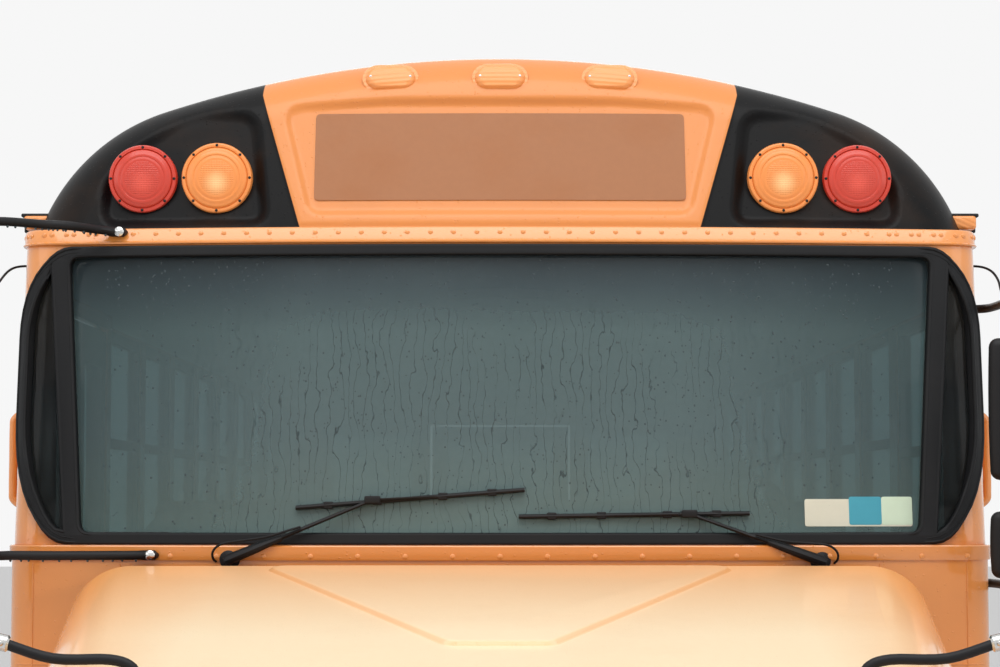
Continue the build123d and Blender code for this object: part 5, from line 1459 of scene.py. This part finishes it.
arm.build("stop_arm_sign", "stop_arm", [stop_red, white_paint, red_lens, black_satin], "sign_red", ["stop_arm"])

# Headlamps and fuel tank straps
lights = Pile()
for side, word in SIDES:
    for low, high, slot, radius in (((0.621, -5.468, 0.881), (0.939, -5.430, 1.059), 0, 0.012),
                                    ((0.634, -5.4785, 0.896), (0.828, -5.456, 1.044), 1, 0.016),
                                    ((0.640, -5.4795, 0.902), (0.822, -5.470, 1.038), 2, 0.004),
                                    ((0.846, -5.4785, 0.896), (0.928, -5.456, 1.044), 3, 0.012)):
        lights.add(side_box(side, low, high, radius), slot)
lights.build("headlamp_units", "hood", [black_satin, bright_metal, clear_lens, amber_lens], "clear_lens", ["headlamps"])

tank = Pile()
for y in (-2.02, -1.38):
    for x, low, far_x, high in ((0.50, 0.9302, 1.0925, 0.9335), (1.0895, 0.517, 1.0930, 0.9335),
                                (0.50, 0.5165, 1.0925, 0.5198)):
        strip_box(tank, (x, y - 0.025, low), (far_x, y + 0.025, high), 0, 0.001)
tank.build("tank_straps", "bus_body", [steel], "bare_steel")


# Light, floor and camera
def make_floor():
    size = 60
    mesh = bpy.data.meshes.new("studio floor")
    mesh.from_pydata([(-size, -size, 0), (size, -size, 0), (size, size, 0), (-size, size, 0)], [], [(0, 1, 2, 3)])
    floor = show("studio_floor", mesh)
    material, add, shader = new_material("studio floor")
    add.fill(shader, Base_Color=(0.72, 0.72, 0.72, 1), Roughness=0.75)
    mesh.materials.append(material)


def make_world():
    """A pale studio: white to the camera and in gloss, gentler as light."""
    world = bpy.data.worlds.new("studio")
    bpy.context.scene.world = world
    world.use_nodes = True
    add = Nodes(world.node_tree)
    rays = add("LightPath").outputs
    seen = add.math("MAXIMUM", rays["Is Camera Ray"], rays["Is Glossy Ray"])
    add.fill(world.node_tree.nodes["Background"].inputs, Strength=add("MapRange", seen, To_Min=0.78, To_Max=0.93),
             Color=(1, 1, 1, 1))


def make_light(name, place, aim, size, power):
    lamp = bpy.data.lights.new(name, "AREA")
    lamp.shape = "RECTANGLE"
    lamp.size, lamp.size_y = size
    lamp.energy = power
    holder = show(name, lamp)
    holder.location = place
    holder.rotation_euler = (Vector(aim) - Vector(place)).to_track_quat("-Z", "Y").to_euler()


make_floor()
make_world()
make_light("sky panel", (0, -7.5, 9.0), (0, -3.2, 1.8), (9, 6), 470)
make_light("left panel", (8, -9, 5), (0, -3, 1.8), (5, 4), 60)
make_light("right panel", (-8, -9, 5), (0, -3, 1.8), (5, 4), 60)
make_light("rear panel", (0, 11, 7), (0, 3, 1.8), (8, 5), 280)

camera = bpy.data.cameras.new("front view")
camera.lens = 85
camera.sensor_width = 36
eye = show("front_view", camera)
eye.location = (0, -9.78, 1.96)
eye.rotation_euler = (radians(90 + 4.03), 0, 0)
bpy.context.scene.camera = eye
bpy.context.scene.view_settings.view_transform = "Standard"

# Finishes of the shown solids
for material, names in (
        (yellow, "cowl windshield_frame front_cap roof side_left side_right rear_end emergency_door grab_handles"),
        (hood_sky_sheen_paint, "hood"),
        (black_paint, "front_bumper rear_bumper rub_rails"),
        (black_satin, "window_frames entry_door_front entry_door_rear grille crossview_mirrors mirrors wipers"),
        (white_paint, "hatch_front hatch_rear"),
        (rubber, "windshield_seal"),
        (tyre_rubber, "front_tyre_left front_tyre_right rear_tyres_left rear_tyres_right"),
        (wheel_paint, "front_wheel_left front_wheel_right rear_wheels_left rear_wheels_right"),
        (chassis, "frame fuel_tank leaf_springs"),
        (cast, "powertrain front_axle rear_axle knuckle_left knuckle_right"),
        (steel, "exhaust tie_rod"),
        (floor_cover, "floor wheel_housings entry_steps"),
        (windshield_glass, "windshield"),
        (side_pane, "cabin_glass entry_glass_front entry_glass_rear emergency_glass"),
        (stop_red, "stop_arm"),
        (clear_lens, "headlamps"),
        (red_lens, "red_lamps rear_lamps"),
        (amber_lens, "amber_lamps"),
        (marker_lens, "marker_lamps"),
        (dash_plastic, "dashboard"),
        (vinyl, "driver_seat seats")):
    for name in names.split():
        part = nodes[name]
        for entry in part.material_slots:
            entry.material = material
        if not part.material_slots:
            part.data.materials.append(material)

for name in ("frame", "front_bumper", "rear_bumper", "powertrain", "fuel_tank", "leaf_springs", "front_axle",
             "rear_axle", "knuckle_left", "knuckle_right", "grille", "hatch_front", "hatch_rear", "exhaust"):
    weld = nodes[name].modifiers.new("close seams", "WELD")
    weld.merge_threshold = 0.0001
    edges = nodes[name].modifiers.new("soft edges", "BEVEL")
    edges.width = 0.0022
    edges.segments = 2
    edges.limit_method = "ANGLE"
    edges.angle_limit = radians(38)
    edges.harden_normals = True
